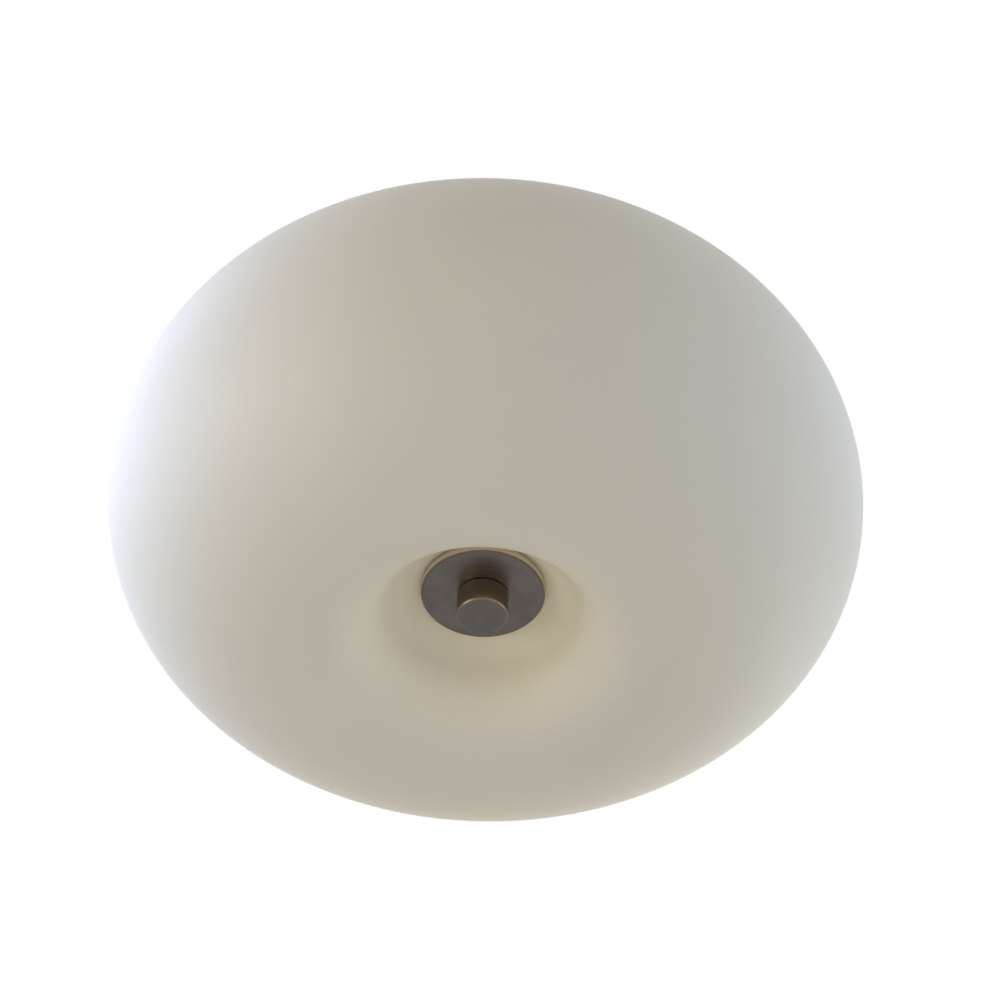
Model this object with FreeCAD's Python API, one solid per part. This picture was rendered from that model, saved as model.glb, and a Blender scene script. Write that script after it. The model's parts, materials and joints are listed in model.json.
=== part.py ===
import FreeCAD, Part
import math
import os

from FreeCAD import Rotation, Vector

# Ceiling light: a satin opal glass shade with a central well, clamped to a ceiling pan by a
# threaded tube and a knob, with three lamps inside.
# Lengths are in millimetres and angles in degrees. The ceiling is the plane z = 0, and the
# light hangs below it. A drop is a distance below the ceiling, or below another named level.
# A reach is a distance from the middle of the light along a lamp's own axis.

# Glass shade
glass_radius = 225.0
glass_wall = 3.5
glass_low_ring_radius = 109.0
glass_low_ring_drop = 107.0
glass_shoulder_centre_radius = 130.5
glass_shoulder_height = 101.0
glass_rim_share = 0.91089
glass_hole_radius = 8.0

# Well in the middle of the shade
well_seat_radius = 33.3
well_fillet_radius = 23.2
well_wall_length = 4.5
well_wall_slope = 67.9

# Clearances and small common values
running_clearance = 0.1
slide_clearance = 0.4
contact_clearance = 0.3
seat_clearance = 0.05
hole_clearance = 0.3
cut_overrun = 1.0
full_turn = 360.0
hex_corners = 6

# Ceiling pan: pressed sheet with a skirt, a shoulder for the glass and a deeper floor
pan_shoulder_margin = 4.5
pan_step_gap = 2.6
pan_shoulder_drop = 8.0
pan_floor_drop = 21.0
pan_sheet = 1.2
pan_bend_radius = 1.5

# Gasket between the pan's shoulder and the glass's rim
rim_gasket_thickness = 2.0
rim_gasket_margin = 0.8

# Mounting bar, flat on the ceiling with joggled ends
bar_length = 140.0
bar_width = 22.0
bar_sheet = 2.0
bar_bend_radius = 1.5
bar_corner_radius = 5.0
bar_joggle_drop = 4.0
bar_joggle_start = 47.0
bar_joggle_run = 5.0
slot_spacing = 70.0
slot_width = 5.0
slot_length = 14.0

# Studs in the bar's ends, and the cap nuts under the pan
stud_spacing = 122.0
stud_radius = 2.0
stud_head_radius = 3.6
stud_head_height = 2.0
stud_engagement = 4.5
cap_nut_flats = 7.0
cap_nut_body_height = 3.4
cap_nut_dome_radius = 3.1
cap_nut_bore_spare = 0.5

# Threaded tube with its nuts and washers
tube_radius = 5.0
tube_bore_radius = 3.6
tube_chamfer = 0.6
tube_top_protrusion = 2.8
tube_nut_flats = 14.0
tube_nut_height = 4.0
tube_washer_radius = 9.5
tube_washer_thickness = 1.0

# Lamp bracket: three legs bent down from one plate
lamp_count = 3
lamp_first_azimuth = 90.0
lamp_axis_drop = 75.0
bracket_sheet = 1.5
bracket_bend_radius = 2.0
bracket_arm_width = 26.0
bracket_hub_radius = 17.0
bracket_leg_tail = 14.0
bracket_corner_radius = 5.0

# Lampholders for the large screw cap
holder_back_reach = 26.0
holder_length = 43.0
holder_floor_thickness = 14.0
holder_rear_radius = 18.8
holder_mouth_radius = 20.5
holder_step_length = 22.0
holder_bore_radius = 14.5
holder_round = 1.2
shell_inner_radius = 13.4
shell_wall = 0.5
shell_length = 26.0
shell_window_radius = 8.5
contact_strip = 0.5
contact_width = 5.0
contact_foot = 5.0
contact_foot_end = 4.2
contact_bend_radius = 0.4
holder_screw_spacing = 18.0
holder_screw_radius = 1.5
holder_screw_depth = 8.0
holder_screw_head_radius = 2.8
holder_screw_head_height = 2.0
driver_slot_width = 0.8
driver_slot_depth = 0.9

# Lamps: length is from the contact's tip to the end of the diffuser
lamp_contact_radius = 4.75
lamp_contact_height = 1.5
lamp_contact_round = 0.9
lamp_insulator_face_radius = 6.4
lamp_insulator_cone = 4.0
lamp_insulator_plug = 2.0
lamp_cap_radius = 13.1
lamp_cap_root_radius = 12.3
lamp_cap_wall = 0.5
lamp_cap_pitch = 3.629
lamp_cap_ridges = 4
lamp_cap_turns_out = 7
lamp_cap_cone = 1.2
lamp_cap_end = 27.5
lamp_housing_start = 25.5
lamp_housing_base_radius = 14.8
lamp_housing_neck = 12.0
lamp_housing_wall = 1.5
lamp_housing_sweep_radius = 30.0
lamp_housing_rim = 6.0
lamp_housing_rim_round = 4.0
lamp_housing_lip = 0.8
lamp_diffuser_radius = 30.0
lamp_diffuser_wall = 1.3
lamp_diffuser_spigot = 3.5
lamp_length = 105.0
lamp_diffuser_length = 45.0
lamp_board_thickness = 1.5
lamp_led_count = 10
lamp_led_size = 3.0
lamp_led_height = 0.8
lamp_led_circle_share = 0.68

# Lead bushes: soft grommets in the pan's floor over each lampholder
bush_reach = 33.0
bush_bore_radius = 4.2
bush_groove_radius = 5.6
bush_flange_radius = 7.4
bush_flange_thickness = 1.5
bush_round = 0.6

# Terminal block on the pan, with its long side along X
block_pole_pitch = 12.0
block_end_margin = 1.0
block_depth = 19.0
block_height = 12.0
block_centre_y = -88.0
block_round = 0.8
block_screw_well_radius = 2.1
barrel_radius = 3.2
barrel_bore_radius = 1.6
barrel_length = 13.0
barrel_centre_height = 5.5
clamp_screw_spacing = 8.0
clamp_screw_radius = 1.5
clamp_screw_length = 3.8
clamp_screw_tip_gap = 0.2
block_screw_radius = 1.5
block_screw_head_radius = 2.6
block_screw_head_height = 1.8
block_screw_head_sink = 3.0
block_screw_tail = 3.0

# Earth screw, lug and nut
earth_screw_y = -44.0
earth_screw_radius = 2.0
earth_head_radius = 3.6
earth_head_height = 2.2
earth_screw_tail = 5.0
earth_nut_flats = 7.0
earth_nut_height = 3.2
lug_sheet = 0.8
lug_ring_radius = 4.6
lug_tongue_width = 4.0
lug_barrel_radius = 1.9
lug_barrel_length = 6.5
lug_barrel_gap = 3.0
lug_lead_depth = 3.5

# Leads
lead_radius = 1.1
lead_pair_spacing = 5.0
lead_pocket_depth = 6.0
lead_hole_clearance = 0.15
lead_arc_share = 0.45
lead_bundle_radius = 1.4
lead_bundle_first_angle = 90.0

# Parts on the shade: bush, gasket and cover disc
glass_bush_flange_radius = 12.0
glass_bush_flange_thickness = 1.0
disc_gasket_radius = 31.0
disc_gasket_thickness = 1.5
disc_radius = 36.3
disc_thickness = 5.3
disc_chamfer = 1.3
disc_back_round = 0.8

# Knob and its washer
knob_radius = 14.9
knob_length = 16.9
knob_chamfer = 0.8
knob_base_chamfer = 0.4
knob_thread_engagement = 12.0
knob_bore_spare = 1.0
knob_base_gap = 0.2
knob_washer_radius = 11.5
knob_washer_thickness = 1.0

# Levels that follow from the sizes above
glass_rim_height = glass_shoulder_height * glass_rim_share
glass_rim_drop = pan_shoulder_drop + rim_gasket_thickness
equator_drop = glass_rim_drop + glass_rim_height
slope_sine = math.sin(math.radians(well_wall_slope))
slope_cosine = math.cos(math.radians(well_wall_slope))
well_shoulder_radius = (
    glass_low_ring_radius - well_seat_radius - well_wall_length * slope_cosine
) / slope_sine - well_fillet_radius
well_depth = (
    (well_fillet_radius + well_shoulder_radius) * (1 - slope_cosine)
    + well_wall_length * slope_sine
)
seat_drop = equator_drop + glass_low_ring_drop - well_depth
disc_face_drop = seat_drop + disc_gasket_thickness + disc_thickness
tube_end_drop = disc_face_drop + knob_thread_engagement
pan_floor_top_drop = pan_floor_drop - pan_sheet
bracket_drop = pan_floor_drop + bracket_sheet
tube_top_drop = (
    pan_floor_top_drop - tube_washer_thickness - tube_nut_height - tube_top_protrusion
)
holder_floor_reach = holder_back_reach + holder_floor_thickness
holder_mouth_reach = holder_back_reach + holder_length
lamp_housing_end = lamp_length - lamp_diffuser_length
lamp_draw_travel = lamp_cap_turns_out * lamp_cap_pitch
lamp_tip_reach = holder_mouth_reach + contact_clearance - lamp_draw_travel
barrel_front_y = block_centre_y + barrel_length / 2
barrel_centre_z = barrel_centre_height - pan_floor_top_drop
lamp_azimuths = [
    lamp_first_azimuth + full_turn * number / lamp_count for number in range(lamp_count)
]

# Routes of the leads, from the terminal block to the bend over each bush. The points are the
# corners of the route, as x, y, z.
live_routes = [
    [(-16.5, -40.0, -8.5), (-15.5, -10.0, -7.5), (-10.0, 13.0, -8.0)],
    [(-21.5, -44.0, -12.0)],
    [(-6.0, -46.0, -9.5), (9.0, -26.0, -6.8)],
]
neutral_routes = [
    [(16.5, -40.0, -12.2), (15.5, -10.0, -12.0), (10.0, 13.0, -10.5)],
    [(6.0, -46.0, -14.0), (-9.0, -26.0, -12.6)],
    [(21.5, -44.0, -12.0)],
]
live_end_sides = [1, 1, 1]
neutral_end_sides = [-1, -1, -1]
earth_route = [(0.0, -75.0, -14.3), (0.9, -68.0, -16.6), (0.0, -61.0, -17.9)]
bend_over_bush_drop = 9.0
lead_slack_drop = 34.0
lead_slack_reach = 2.0
lead_entry_drop = 50.0
lead_exit_run = 14.0


def radial_point(radius, height):
    """A point in the half plane that is turned round the light's own axis."""
    return Vector(radius, 0, height)


def axial_point(reach, radius):
    """A point in the half plane that is turned round a lamp's axis, before it is placed."""
    return Vector(reach, 0, radius)


def corner_arc(before, corner, after, radius):
    """Start, middle and end of the arc that rounds a corner."""
    towards_before = (before - corner).normalize()
    towards_after = (after - corner).normalize()
    half_angle = towards_before.getAngle(towards_after) / 2
    setback = radius / math.tan(half_angle)
    middle_direction = (towards_before + towards_after).normalize()
    middle_distance = radius / math.sin(half_angle) - radius
    return (
        corner + towards_before * setback,
        corner + middle_direction * middle_distance,
        corner + towards_after * setback,
    )


def outline_edges(corners, place):
    """Edges of a closed outline. Each corner is two coordinates and a rounding radius."""
    points = [place(first, second) for first, second, radius in corners]
    count = len(corners)
    arcs = []
    for index, (first, second, radius) in enumerate(corners):
        point = points[index]
        if radius > 0:
            before = points[index - 1]
            after = points[(index + 1) % count]
            arcs.append(corner_arc(before, point, after, radius))
        else:
            arcs.append((point, None, point))
    edges = []
    for index, (start, middle, end) in enumerate(arcs):
        if middle is not None:
            edges.append(Part.Arc(start, middle, end).toShape())
        following = arcs[(index + 1) % count][0]
        if (following - end).Length > Part.Precision.confusion():
            edges.append(Part.LineSegment(end, following).toShape())
    return edges


def turned(edges, axis):
    """Solid made by turning closed edges round an axis through the origin."""
    face = Part.Face(Part.Wire(Part.sortEdges(edges)[0]))
    return face.revolve(Vector(0, 0, 0), axis, full_turn)


def turned_on_centre(corners):
    """Solid turned round the light's own axis, from corners of radius and height."""
    return turned(outline_edges(corners, radial_point), Vector(0, 0, 1))


def turned_on_lamp(corners):
    """Solid turned round a lamp's axis, from corners of reach and radius."""
    return turned(outline_edges(corners, axial_point), Vector(1, 0, 0))


def sharp(points):
    """Corners with no rounding."""
    return [(first, second, 0) for first, second in points]


def ring(inner_radius, outer_radius, top, bottom):
    """Flat ring round the light's own axis."""
    return turned_on_centre(
        sharp([(inner_radius, top), (outer_radius, top), (outer_radius, bottom), (inner_radius, bottom)])
    )


def post(x, y, radius, low, high):
    """Upright cylinder."""
    return Part.makeCylinder(radius, high - low, Vector(x, y, low))


def hexagon(x, y, flats, low, high):
    """Upright hexagonal prism."""
    corner_radius = flats / 2 / math.cos(math.pi / hex_corners)
    points = []
    for index in range(hex_corners + 1):
        angle = 2 * math.pi * index / hex_corners
        points.append(Vector(x + corner_radius * math.cos(angle), y + corner_radius * math.sin(angle), low))
    return Part.Face(Part.makePolygon(points)).extrude(Vector(0, 0, high - low))


def chamfered_nut(x, y, flats, low, high, chamfer_ends):
    """Hexagonal nut whose corners are turned down by a cone at the named ends."""
    nut = hexagon(x, y, flats, low, high)
    corner_radius = flats / 2 / math.cos(math.pi / hex_corners)
    height = high - low
    cone_height = (corner_radius - flats / 2) / 2
    limit = [(0, low), (corner_radius, low), (corner_radius, high), (0, high)]
    if "low" in chamfer_ends:
        limit[1:2] = [(flats / 2, low), (corner_radius, low + cone_height)]
    if "high" in chamfer_ends:
        limit[-2:-1] = [(corner_radius, low + height - cone_height), (flats / 2, high)]
    cone = turned_on_centre(sharp(limit))
    cone.translate(Vector(x, y, 0))
    return nut.common(cone)


def bent_sheet_corners(path, sheet, bend_radius):
    """Corners of a bent sheet whose one face follows a path, with the sheet to its left."""
    points = [Vector(first, second, 0) for first, second in path]
    near = []
    far = []
    last = len(points) - 1
    for index, point in enumerate(points):
        ahead = (points[min(index + 1, last)] - points[min(index, last - 1)]).normalize()
        behind = (points[max(index, 1)] - points[max(index - 1, 0)]).normalize()
        left_ahead = Vector(-ahead.y, ahead.x, 0)
        left_behind = Vector(-behind.y, behind.x, 0)
        middle = (left_ahead + left_behind).normalize()
        shifted = point + middle * (sheet / middle.dot(left_ahead))
        turn = behind.x * ahead.y - behind.y * ahead.x
        is_end = index in (0, last)
        near_radius = 0 if is_end else bend_radius + (sheet if turn > 0 else 0)
        far_radius = 0 if is_end else bend_radius + (0 if turn > 0 else sheet)
        near.append((point.x, point.y, near_radius))
        far.append((shifted.x, shifted.y, far_radius))
    return near + far[::-1]


def extruded_across(corners, width):
    """Solid with a side outline of X and height, and a width along Y about the XZ plane."""
    edges = outline_edges(corners, lambda first, second: Vector(first, -width / 2, second))
    face = Part.Face(Part.Wire(Part.sortEdges(edges)[0]))
    return face.extrude(Vector(0, width, 0))


def rounded_corners(shape, radius, direction, reach_test):
    """Round the straight edges along a direction whose middle passes a test."""
    picked = []
    for edge in shape.Edges:
        if not isinstance(edge.Curve, Part.Line):
            continue
        along = edge.tangentAt(edge.FirstParameter)
        if abs(along.dot(direction)) > 1 - Part.Precision.confusion() and reach_test(edge.CenterOfMass):
            picked.append(edge)
    return shape.makeFillet(radius, picked)


def at_lamp(shape, azimuth):
    """Copy of a shape made along +X at the origin, placed on a lamp's axis."""
    placed = shape.copy()
    placed.translate(Vector(0, 0, -lamp_axis_drop))
    placed.rotate(Vector(0, 0, 0), Vector(0, 0, 1), azimuth)
    return placed


def lamp_to_frame(reach, side, height, azimuth):
    """Point given by reach, sideways offset and height in the frame of one lamp."""
    return Rotation(Vector(0, 0, 1), azimuth).multVec(Vector(reach, side, height))


def lead_tube(name, points):
    """Lead along straight runs joined by tangent arcs, each as large as its runs allow."""
    arcs = []
    radii = []
    for before, corner, after in zip(points, points[1:], points[2:]):
        turn = math.pi - (before - corner).getAngle(after - corner)
        shorter = min((corner - before).Length, (after - corner).Length)
        radius = lead_arc_share * shorter / math.tan(turn / 2)
        radii.append(radius)
        arcs.append(corner_arc(before, corner, after, radius))
    edges = []
    here = points[0]
    for start, middle, end in arcs:
        edges.append(Part.LineSegment(here, start).toShape())
        edges.append(Part.Arc(start, middle, end).toShape())
        here = end
    edges.append(Part.LineSegment(here, points[-1]).toShape())
    path = Part.Wire(edges)
    first_direction = points[1] - points[0]
    section = Part.Wire(Part.makeCircle(lead_radius, points[0], first_direction))
    tube = path.makePipeShell([section], True, False)
    expected = math.pi * lead_radius**2 * path.Length
    print(
        name,
        "length", round(path.Length, 1),
        "volume over section times length", round(tube.Volume / expected, 4),
        "radii", [round(radius, 1) for radius in radii],
    )
    return tube


def glass_rim_radius(inset):
    """Radius at which one skin of the glass reaches the rim."""
    width = glass_radius - glass_shoulder_centre_radius - inset
    share = glass_rim_height / (glass_shoulder_height - inset)
    return glass_shoulder_centre_radius + width * math.sqrt(1 - share**2)


def glass_outline(inset):
    """Edges of one skin of the glass, from its hole to its rim, and the points at both ends."""
    fillet = well_fillet_radius + inset
    shoulder = well_shoulder_radius - inset
    fillet_centre = Vector(well_seat_radius, 0, -seat_drop - well_fillet_radius)
    shoulder_centre = Vector(
        glass_low_ring_radius, 0, well_shoulder_radius - equator_drop - glass_low_ring_drop
    )
    half_slope = math.radians(well_wall_slope) / 2
    outward = Vector(slope_sine, 0, slope_cosine)
    half_outward = Vector(math.sin(half_slope), 0, math.cos(half_slope))
    hole_edge = Vector(glass_hole_radius, 0, inset - seat_drop)
    seat_edge = Vector(well_seat_radius, 0, inset - seat_drop)
    wall_top = fillet_centre + outward * fillet
    wall_foot = shoulder_centre - outward * shoulder
    low_ring = Vector(glass_low_ring_radius, 0, inset - equator_drop - glass_low_ring_drop)
    equator = Vector(glass_radius - inset, 0, -equator_drop)
    rim = Vector(glass_rim_radius(inset), 0, -glass_rim_drop)
    bowl_centre = Vector(glass_low_ring_radius, 0, -equator_drop)
    upper_centre = Vector(glass_shoulder_centre_radius, 0, -equator_drop)
    upper_top = upper_centre + Vector(0, 0, glass_shoulder_height - inset)
    edges = [
        Part.LineSegment(hole_edge, seat_edge).toShape(),
        Part.Arc(seat_edge, fillet_centre + half_outward * fillet, wall_top).toShape(),
        Part.LineSegment(wall_top, wall_foot).toShape(),
        Part.Arc(wall_foot, shoulder_centre - half_outward * shoulder, low_ring).toShape(),
        ellipse_stretch(bowl_centre, equator, low_ring, low_ring, equator),
        ellipse_stretch(upper_centre, equator, upper_top, equator, rim),
    ]
    return edges, hole_edge, rim


def ellipse_stretch(centre, side, end, start, finish):
    """Shorter stretch, between two points, of the ellipse through a side and an end point."""
    if (side - centre).Length > (end - centre).Length:
        ellipse = Part.Ellipse(side, end, centre)
    else:
        ellipse = Part.Ellipse(end, side, centre)
    first = ellipse.parameter(start)
    last = ellipse.parameter(finish)
    if (last - first) % (2 * math.pi) > math.pi:
        first, last = last, first
    return ellipse.toShape(first, last if last > first else last + 2 * math.pi)


def glass_shade():
    """Blown glass with a hole through the seat of its well and a flat ground rim."""
    outer, outer_hole, outer_rim = glass_outline(0)
    inner, inner_hole, inner_rim = glass_outline(glass_wall)
    ends = [
        Part.LineSegment(outer_hole, inner_hole).toShape(),
        Part.LineSegment(outer_rim, inner_rim).toShape(),
    ]
    return turned(outer + inner + ends, Vector(0, 0, 1))


def glass_bush():
    """Sleeve in the glass's hole, with a flange on the glass's inner face."""
    bore = tube_radius + slide_clearance
    sleeve = glass_hole_radius - seat_clearance
    flange_low = glass_wall - seat_drop
    flange_high = flange_low + glass_bush_flange_thickness
    return turned_on_centre(
        sharp(
            [
                (bore, -seat_drop),
                (sleeve, -seat_drop),
                (sleeve, flange_low),
                (glass_bush_flange_radius, flange_low),
                (glass_bush_flange_radius, flange_high),
                (bore, flange_high),
            ]
        )
    )


def disc_gasket():
    """Soft ring between the glass's seat and the cover disc."""
    bore = tube_radius + slide_clearance
    return ring(bore, disc_gasket_radius, -seat_drop, -seat_drop - disc_gasket_thickness)


def cover_disc():
    """Turned disc with a chamfered lower edge."""
    bore = tube_radius + slide_clearance
    top = disc_thickness - disc_face_drop
    face = -disc_face_drop
    return turned_on_centre(
        [
            (bore, top, 0),
            (disc_radius, top, disc_back_round),
            (disc_radius, face + disc_chamfer, 0),
            (disc_radius - disc_chamfer, face, 0),
            (bore, face, 0),
        ]
    )


def knob_washer():
    """Thin washer that the knob turns against."""
    bore = tube_radius + slide_clearance
    return ring(bore, knob_washer_radius, -disc_face_drop, -disc_face_drop - knob_washer_thickness)


def knob():
    """Turned cylinder with a blind threaded bore and a recess for its washer."""
    bore = tube_radius + running_clearance
    base = -disc_face_drop - knob_base_gap
    recess = -disc_face_drop - knob_washer_thickness
    recess_radius = knob_washer_radius + contact_clearance
    bore_end = -tube_end_drop - knob_bore_spare
    end = -disc_face_drop - knob_length
    return turned_on_centre(
        sharp(
            [
                (recess_radius, base),
                (knob_radius - knob_base_chamfer, base),
                (knob_radius, base - knob_base_chamfer),
                (knob_radius, end + knob_chamfer),
                (knob_radius - knob_chamfer, end),
                (0, end),
                (0, bore_end),
                (bore, bore_end),
                (bore, recess),
                (recess_radius, recess),
            ]
        )
    )


def mounting_bar():
    """Flat bar on the ceiling, with slots for the ceiling screws and joggled ends."""
    end = bar_length / 2
    joggle_end = bar_joggle_start + bar_joggle_run
    low = -bar_sheet
    path = [
        (-end, low - bar_joggle_drop),
        (-joggle_end, low - bar_joggle_drop),
        (-bar_joggle_start, low),
        (bar_joggle_start, low),
        (joggle_end, low - bar_joggle_drop),
        (end, low - bar_joggle_drop),
    ]
    bar = extruded_across(bent_sheet_corners(path, bar_sheet, bar_bend_radius), bar_width)
    bar = rounded_corners(
        bar, bar_corner_radius, Vector(0, 0, 1), lambda middle: abs(middle.x) > joggle_end
    )
    bottom = -bar_sheet - bar_joggle_drop - cut_overrun
    for side in (-1, 1):
        half_straight = (slot_length - slot_width) / 2
        centre = side * slot_spacing / 2
        slot = Part.makeBox(
            2 * half_straight,
            slot_width,
            cut_overrun - bottom,
            Vector(centre - half_straight, -slot_width / 2, bottom),
        )
        for slot_end in (-half_straight, half_straight):
            slot = slot.fuse(post(centre + slot_end, 0, slot_width / 2, bottom, cut_overrun))
        stud_hole = post(side * stud_spacing / 2, 0, stud_radius + seat_clearance, bottom, cut_overrun)
        bar = bar.cut(slot.removeSplitter()).cut(stud_hole)
    return bar


def bar_studs():
    """Studs whose heads rest on the bar's joggled ends."""
    head_low = -bar_joggle_drop
    head_high = head_low + stud_head_height
    low = -pan_floor_drop - stud_engagement
    studs = []
    for side in (-1, 1):
        corners = sharp(
            [
                (0, low),
                (stud_radius, low),
                (stud_radius, head_low),
                (stud_head_radius, head_low),
                (stud_head_radius, head_high),
                (0, head_high),
            ]
        )
        stud = turned_on_centre(corners)
        stud.translate(Vector(side * stud_spacing / 2, 0, 0))
        studs.append(stud)
    return Part.makeCompound(studs)


def pan_cap_nuts():
    """Domed nuts under the pan, one on each stud."""
    top = -pan_floor_drop
    body_low = top - cap_nut_body_height
    dome_low = body_low - cap_nut_dome_radius
    bore_radius = stud_radius + seat_clearance
    bore_low = top - stud_engagement - cap_nut_bore_spare
    nuts = []
    for side in (-1, 1):
        x = side * stud_spacing / 2
        body = chamfered_nut(x, 0, cap_nut_flats, body_low, top, ("low",))
        dome = Part.makeSphere(cap_nut_dome_radius, Vector(x, 0, body_low))
        dome = dome.common(post(x, 0, cap_nut_dome_radius, dome_low, body_low))
        bore = post(x, 0, bore_radius, bore_low, top + cut_overrun)
        nuts.append(body.fuse(dome).cut(bore).removeSplitter())
    return Part.makeCompound(nuts)


def ceiling_pan():
    """Pressed pan: skirt to the ceiling, shoulder for the glass and a floor with its holes."""
    tube_hole = tube_radius + hole_clearance
    step_radius = glass_rim_radius(glass_wall) - pan_step_gap
    skirt_radius = glass_rim_radius(0) + pan_shoulder_margin
    path = [
        (tube_hole, -pan_floor_drop),
        (step_radius, -pan_floor_drop),
        (step_radius, -pan_shoulder_drop),
        (skirt_radius, -pan_shoulder_drop),
        (skirt_radius, 0),
    ]
    pan = turned_on_centre(bent_sheet_corners(path, pan_sheet, pan_bend_radius))
    low = -pan_floor_drop - cut_overrun
    high = -pan_floor_top_drop + cut_overrun
    holes = [
        (stud_spacing / 2, 0, stud_radius + hole_clearance),
        (-stud_spacing / 2, 0, stud_radius + hole_clearance),
        (0, earth_screw_y, earth_screw_radius + hole_clearance),
        (block_pole_pitch / 2, block_centre_y, block_screw_radius + seat_clearance),
    ]
    for azimuth in lamp_azimuths:
        place = lamp_to_frame(bush_reach, 0, 0, azimuth)
        holes.append((place.x, place.y, bush_groove_radius + seat_clearance))
    for x, y, radius in holes:
        pan = pan.cut(post(x, y, radius, low, high))
    return pan


def rim_gasket():
    """Soft ring between the pan's shoulder and the glass's rim."""
    return ring(
        glass_rim_radius(glass_wall) - rim_gasket_margin,
        glass_rim_radius(0) + rim_gasket_margin,
        -pan_shoulder_drop,
        -glass_rim_drop,
    )


def threaded_tube():
    """Tube from above the pan's floor down into the knob."""
    top = -tube_top_drop
    low = -tube_end_drop
    edge = tube_radius - tube_chamfer
    return turned_on_centre(
        sharp(
            [
                (tube_bore_radius, low),
                (edge, low),
                (tube_radius, low + tube_chamfer),
                (tube_radius, top - tube_chamfer),
                (edge, top),
                (tube_bore_radius, top),
            ]
        )
    )


def tube_nut(low, ends):
    """Nut on the threaded tube."""
    nut = chamfered_nut(0, 0, tube_nut_flats, low, low + tube_nut_height, ends)
    bore = post(0, 0, tube_radius + seat_clearance, low - cut_overrun, low + tube_nut_height + cut_overrun)
    return nut.cut(bore)


def tube_nut_upper():
    """Nut over the pan's floor."""
    return tube_nut(tube_washer_thickness - pan_floor_top_drop, ("high",))


def tube_nut_lower():
    """Nut under the lamp bracket."""
    return tube_nut(-bracket_drop - tube_washer_thickness - tube_nut_height, ("low",))


def tube_washers():
    """Washers over the pan's floor and under the lamp bracket."""
    bore = tube_radius + seat_clearance
    upper_low = -pan_floor_top_drop
    lower_high = -bracket_drop
    upper = ring(bore, tube_washer_radius, upper_low + tube_washer_thickness, upper_low)
    lower = ring(bore, tube_washer_radius, lower_high, lower_high - tube_washer_thickness)
    return Part.makeCompound([upper, lower])


def lamp_bracket():
    """Plate under the pan with a leg bent down behind each lampholder."""
    leg_low = -lamp_axis_drop - bracket_leg_tail
    path = [(0, -bracket_drop), (holder_back_reach - bracket_sheet, -bracket_drop)]
    path.append((holder_back_reach - bracket_sheet, leg_low))
    arm = extruded_across(
        bent_sheet_corners(path, bracket_sheet, bracket_bend_radius), bracket_arm_width
    )
    arm = rounded_corners(
        arm, bracket_corner_radius, Vector(1, 0, 0), lambda middle: middle.z < -lamp_axis_drop
    )
    for side in (-1, 1):
        hole = Part.makeCylinder(
            holder_screw_radius + hole_clearance,
            bracket_sheet + 2 * cut_overrun,
            Vector(
                holder_back_reach - bracket_sheet - cut_overrun,
                side * holder_screw_spacing / 2,
                -lamp_axis_drop,
            ),
            Vector(1, 0, 0),
        )
        arm = arm.cut(hole)
    bracket = post(0, 0, bracket_hub_radius, -bracket_drop, -pan_floor_drop)
    for azimuth in lamp_azimuths:
        turned_arm = arm.copy()
        turned_arm.rotate(Vector(0, 0, 0), Vector(0, 0, 1), azimuth)
        bracket = bracket.fuse(turned_arm)
    tube_hole = post(
        0, 0, tube_radius + hole_clearance, -bracket_drop - cut_overrun, cut_overrun - pan_floor_drop
    )
    return bracket.cut(tube_hole).removeSplitter()


def lead_pocket_floor():
    """Height of the bottom of the lead pockets over a lamp's axis."""
    half_pair = lead_pair_spacing / 2
    return math.sqrt(holder_rear_radius**2 - half_pair**2) - lead_pocket_depth


def holder_body():
    """Moulded lampholder: solid rear with lead pockets and screw holes, open front."""
    step_reach = holder_back_reach + holder_step_length
    body = turned_on_lamp(
        [
            (holder_back_reach, 0, 0),
            (holder_back_reach, holder_rear_radius, holder_round),
            (step_reach, holder_rear_radius, holder_round),
            (step_reach, holder_mouth_radius, holder_round / 2),
            (holder_mouth_reach, holder_mouth_radius, holder_round),
            (holder_mouth_reach, holder_bore_radius, holder_round),
            (holder_floor_reach, holder_bore_radius, 0),
            (holder_floor_reach, 0, 0),
        ]
    )
    for side in (-1, 1):
        pocket = post(
            bush_reach,
            side * lead_pair_spacing / 2,
            lead_radius + lead_hole_clearance,
            lead_pocket_floor(),
            holder_rear_radius + cut_overrun,
        )
        screw_hole = Part.makeCylinder(
            holder_screw_radius + seat_clearance,
            holder_screw_depth + cut_overrun,
            Vector(holder_back_reach, side * holder_screw_spacing / 2, 0),
            Vector(1, 0, 0),
        )
        body = body.cut(pocket).cut(screw_hole)
    return body


def holder_shell():
    """Plain sleeve that takes the lamp's cap, with a base ring on the holder's floor."""
    outer = shell_inner_radius + shell_wall
    path = [
        (holder_floor_reach + shell_length, shell_inner_radius),
        (holder_floor_reach + shell_wall, shell_inner_radius),
        (holder_floor_reach + shell_wall, shell_window_radius),
        (holder_floor_reach, shell_window_radius),
        (holder_floor_reach, outer),
        (holder_floor_reach + shell_length, outer),
    ]
    return turned_on_lamp(sharp(path))


def holder_contact():
    """Bent strip on the holder's floor, with a raised tongue under the lamp's contact."""
    tongue_reach = lamp_tip_reach - contact_clearance
    foot = holder_floor_reach
    path = [
        (foot, contact_foot + contact_foot_end / 2),
        (foot, contact_foot_end),
        (tongue_reach - contact_strip, contact_foot_end / 2),
        (tongue_reach - contact_strip, -contact_foot_end / 2),
    ]
    edges = outline_edges(
        bent_sheet_corners(path, contact_strip, contact_bend_radius),
        lambda reach, side: Vector(reach, side, -contact_width / 2),
    )
    face = Part.Face(Part.Wire(Part.sortEdges(edges)[0]))
    return face.extrude(Vector(0, 0, contact_width))


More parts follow.
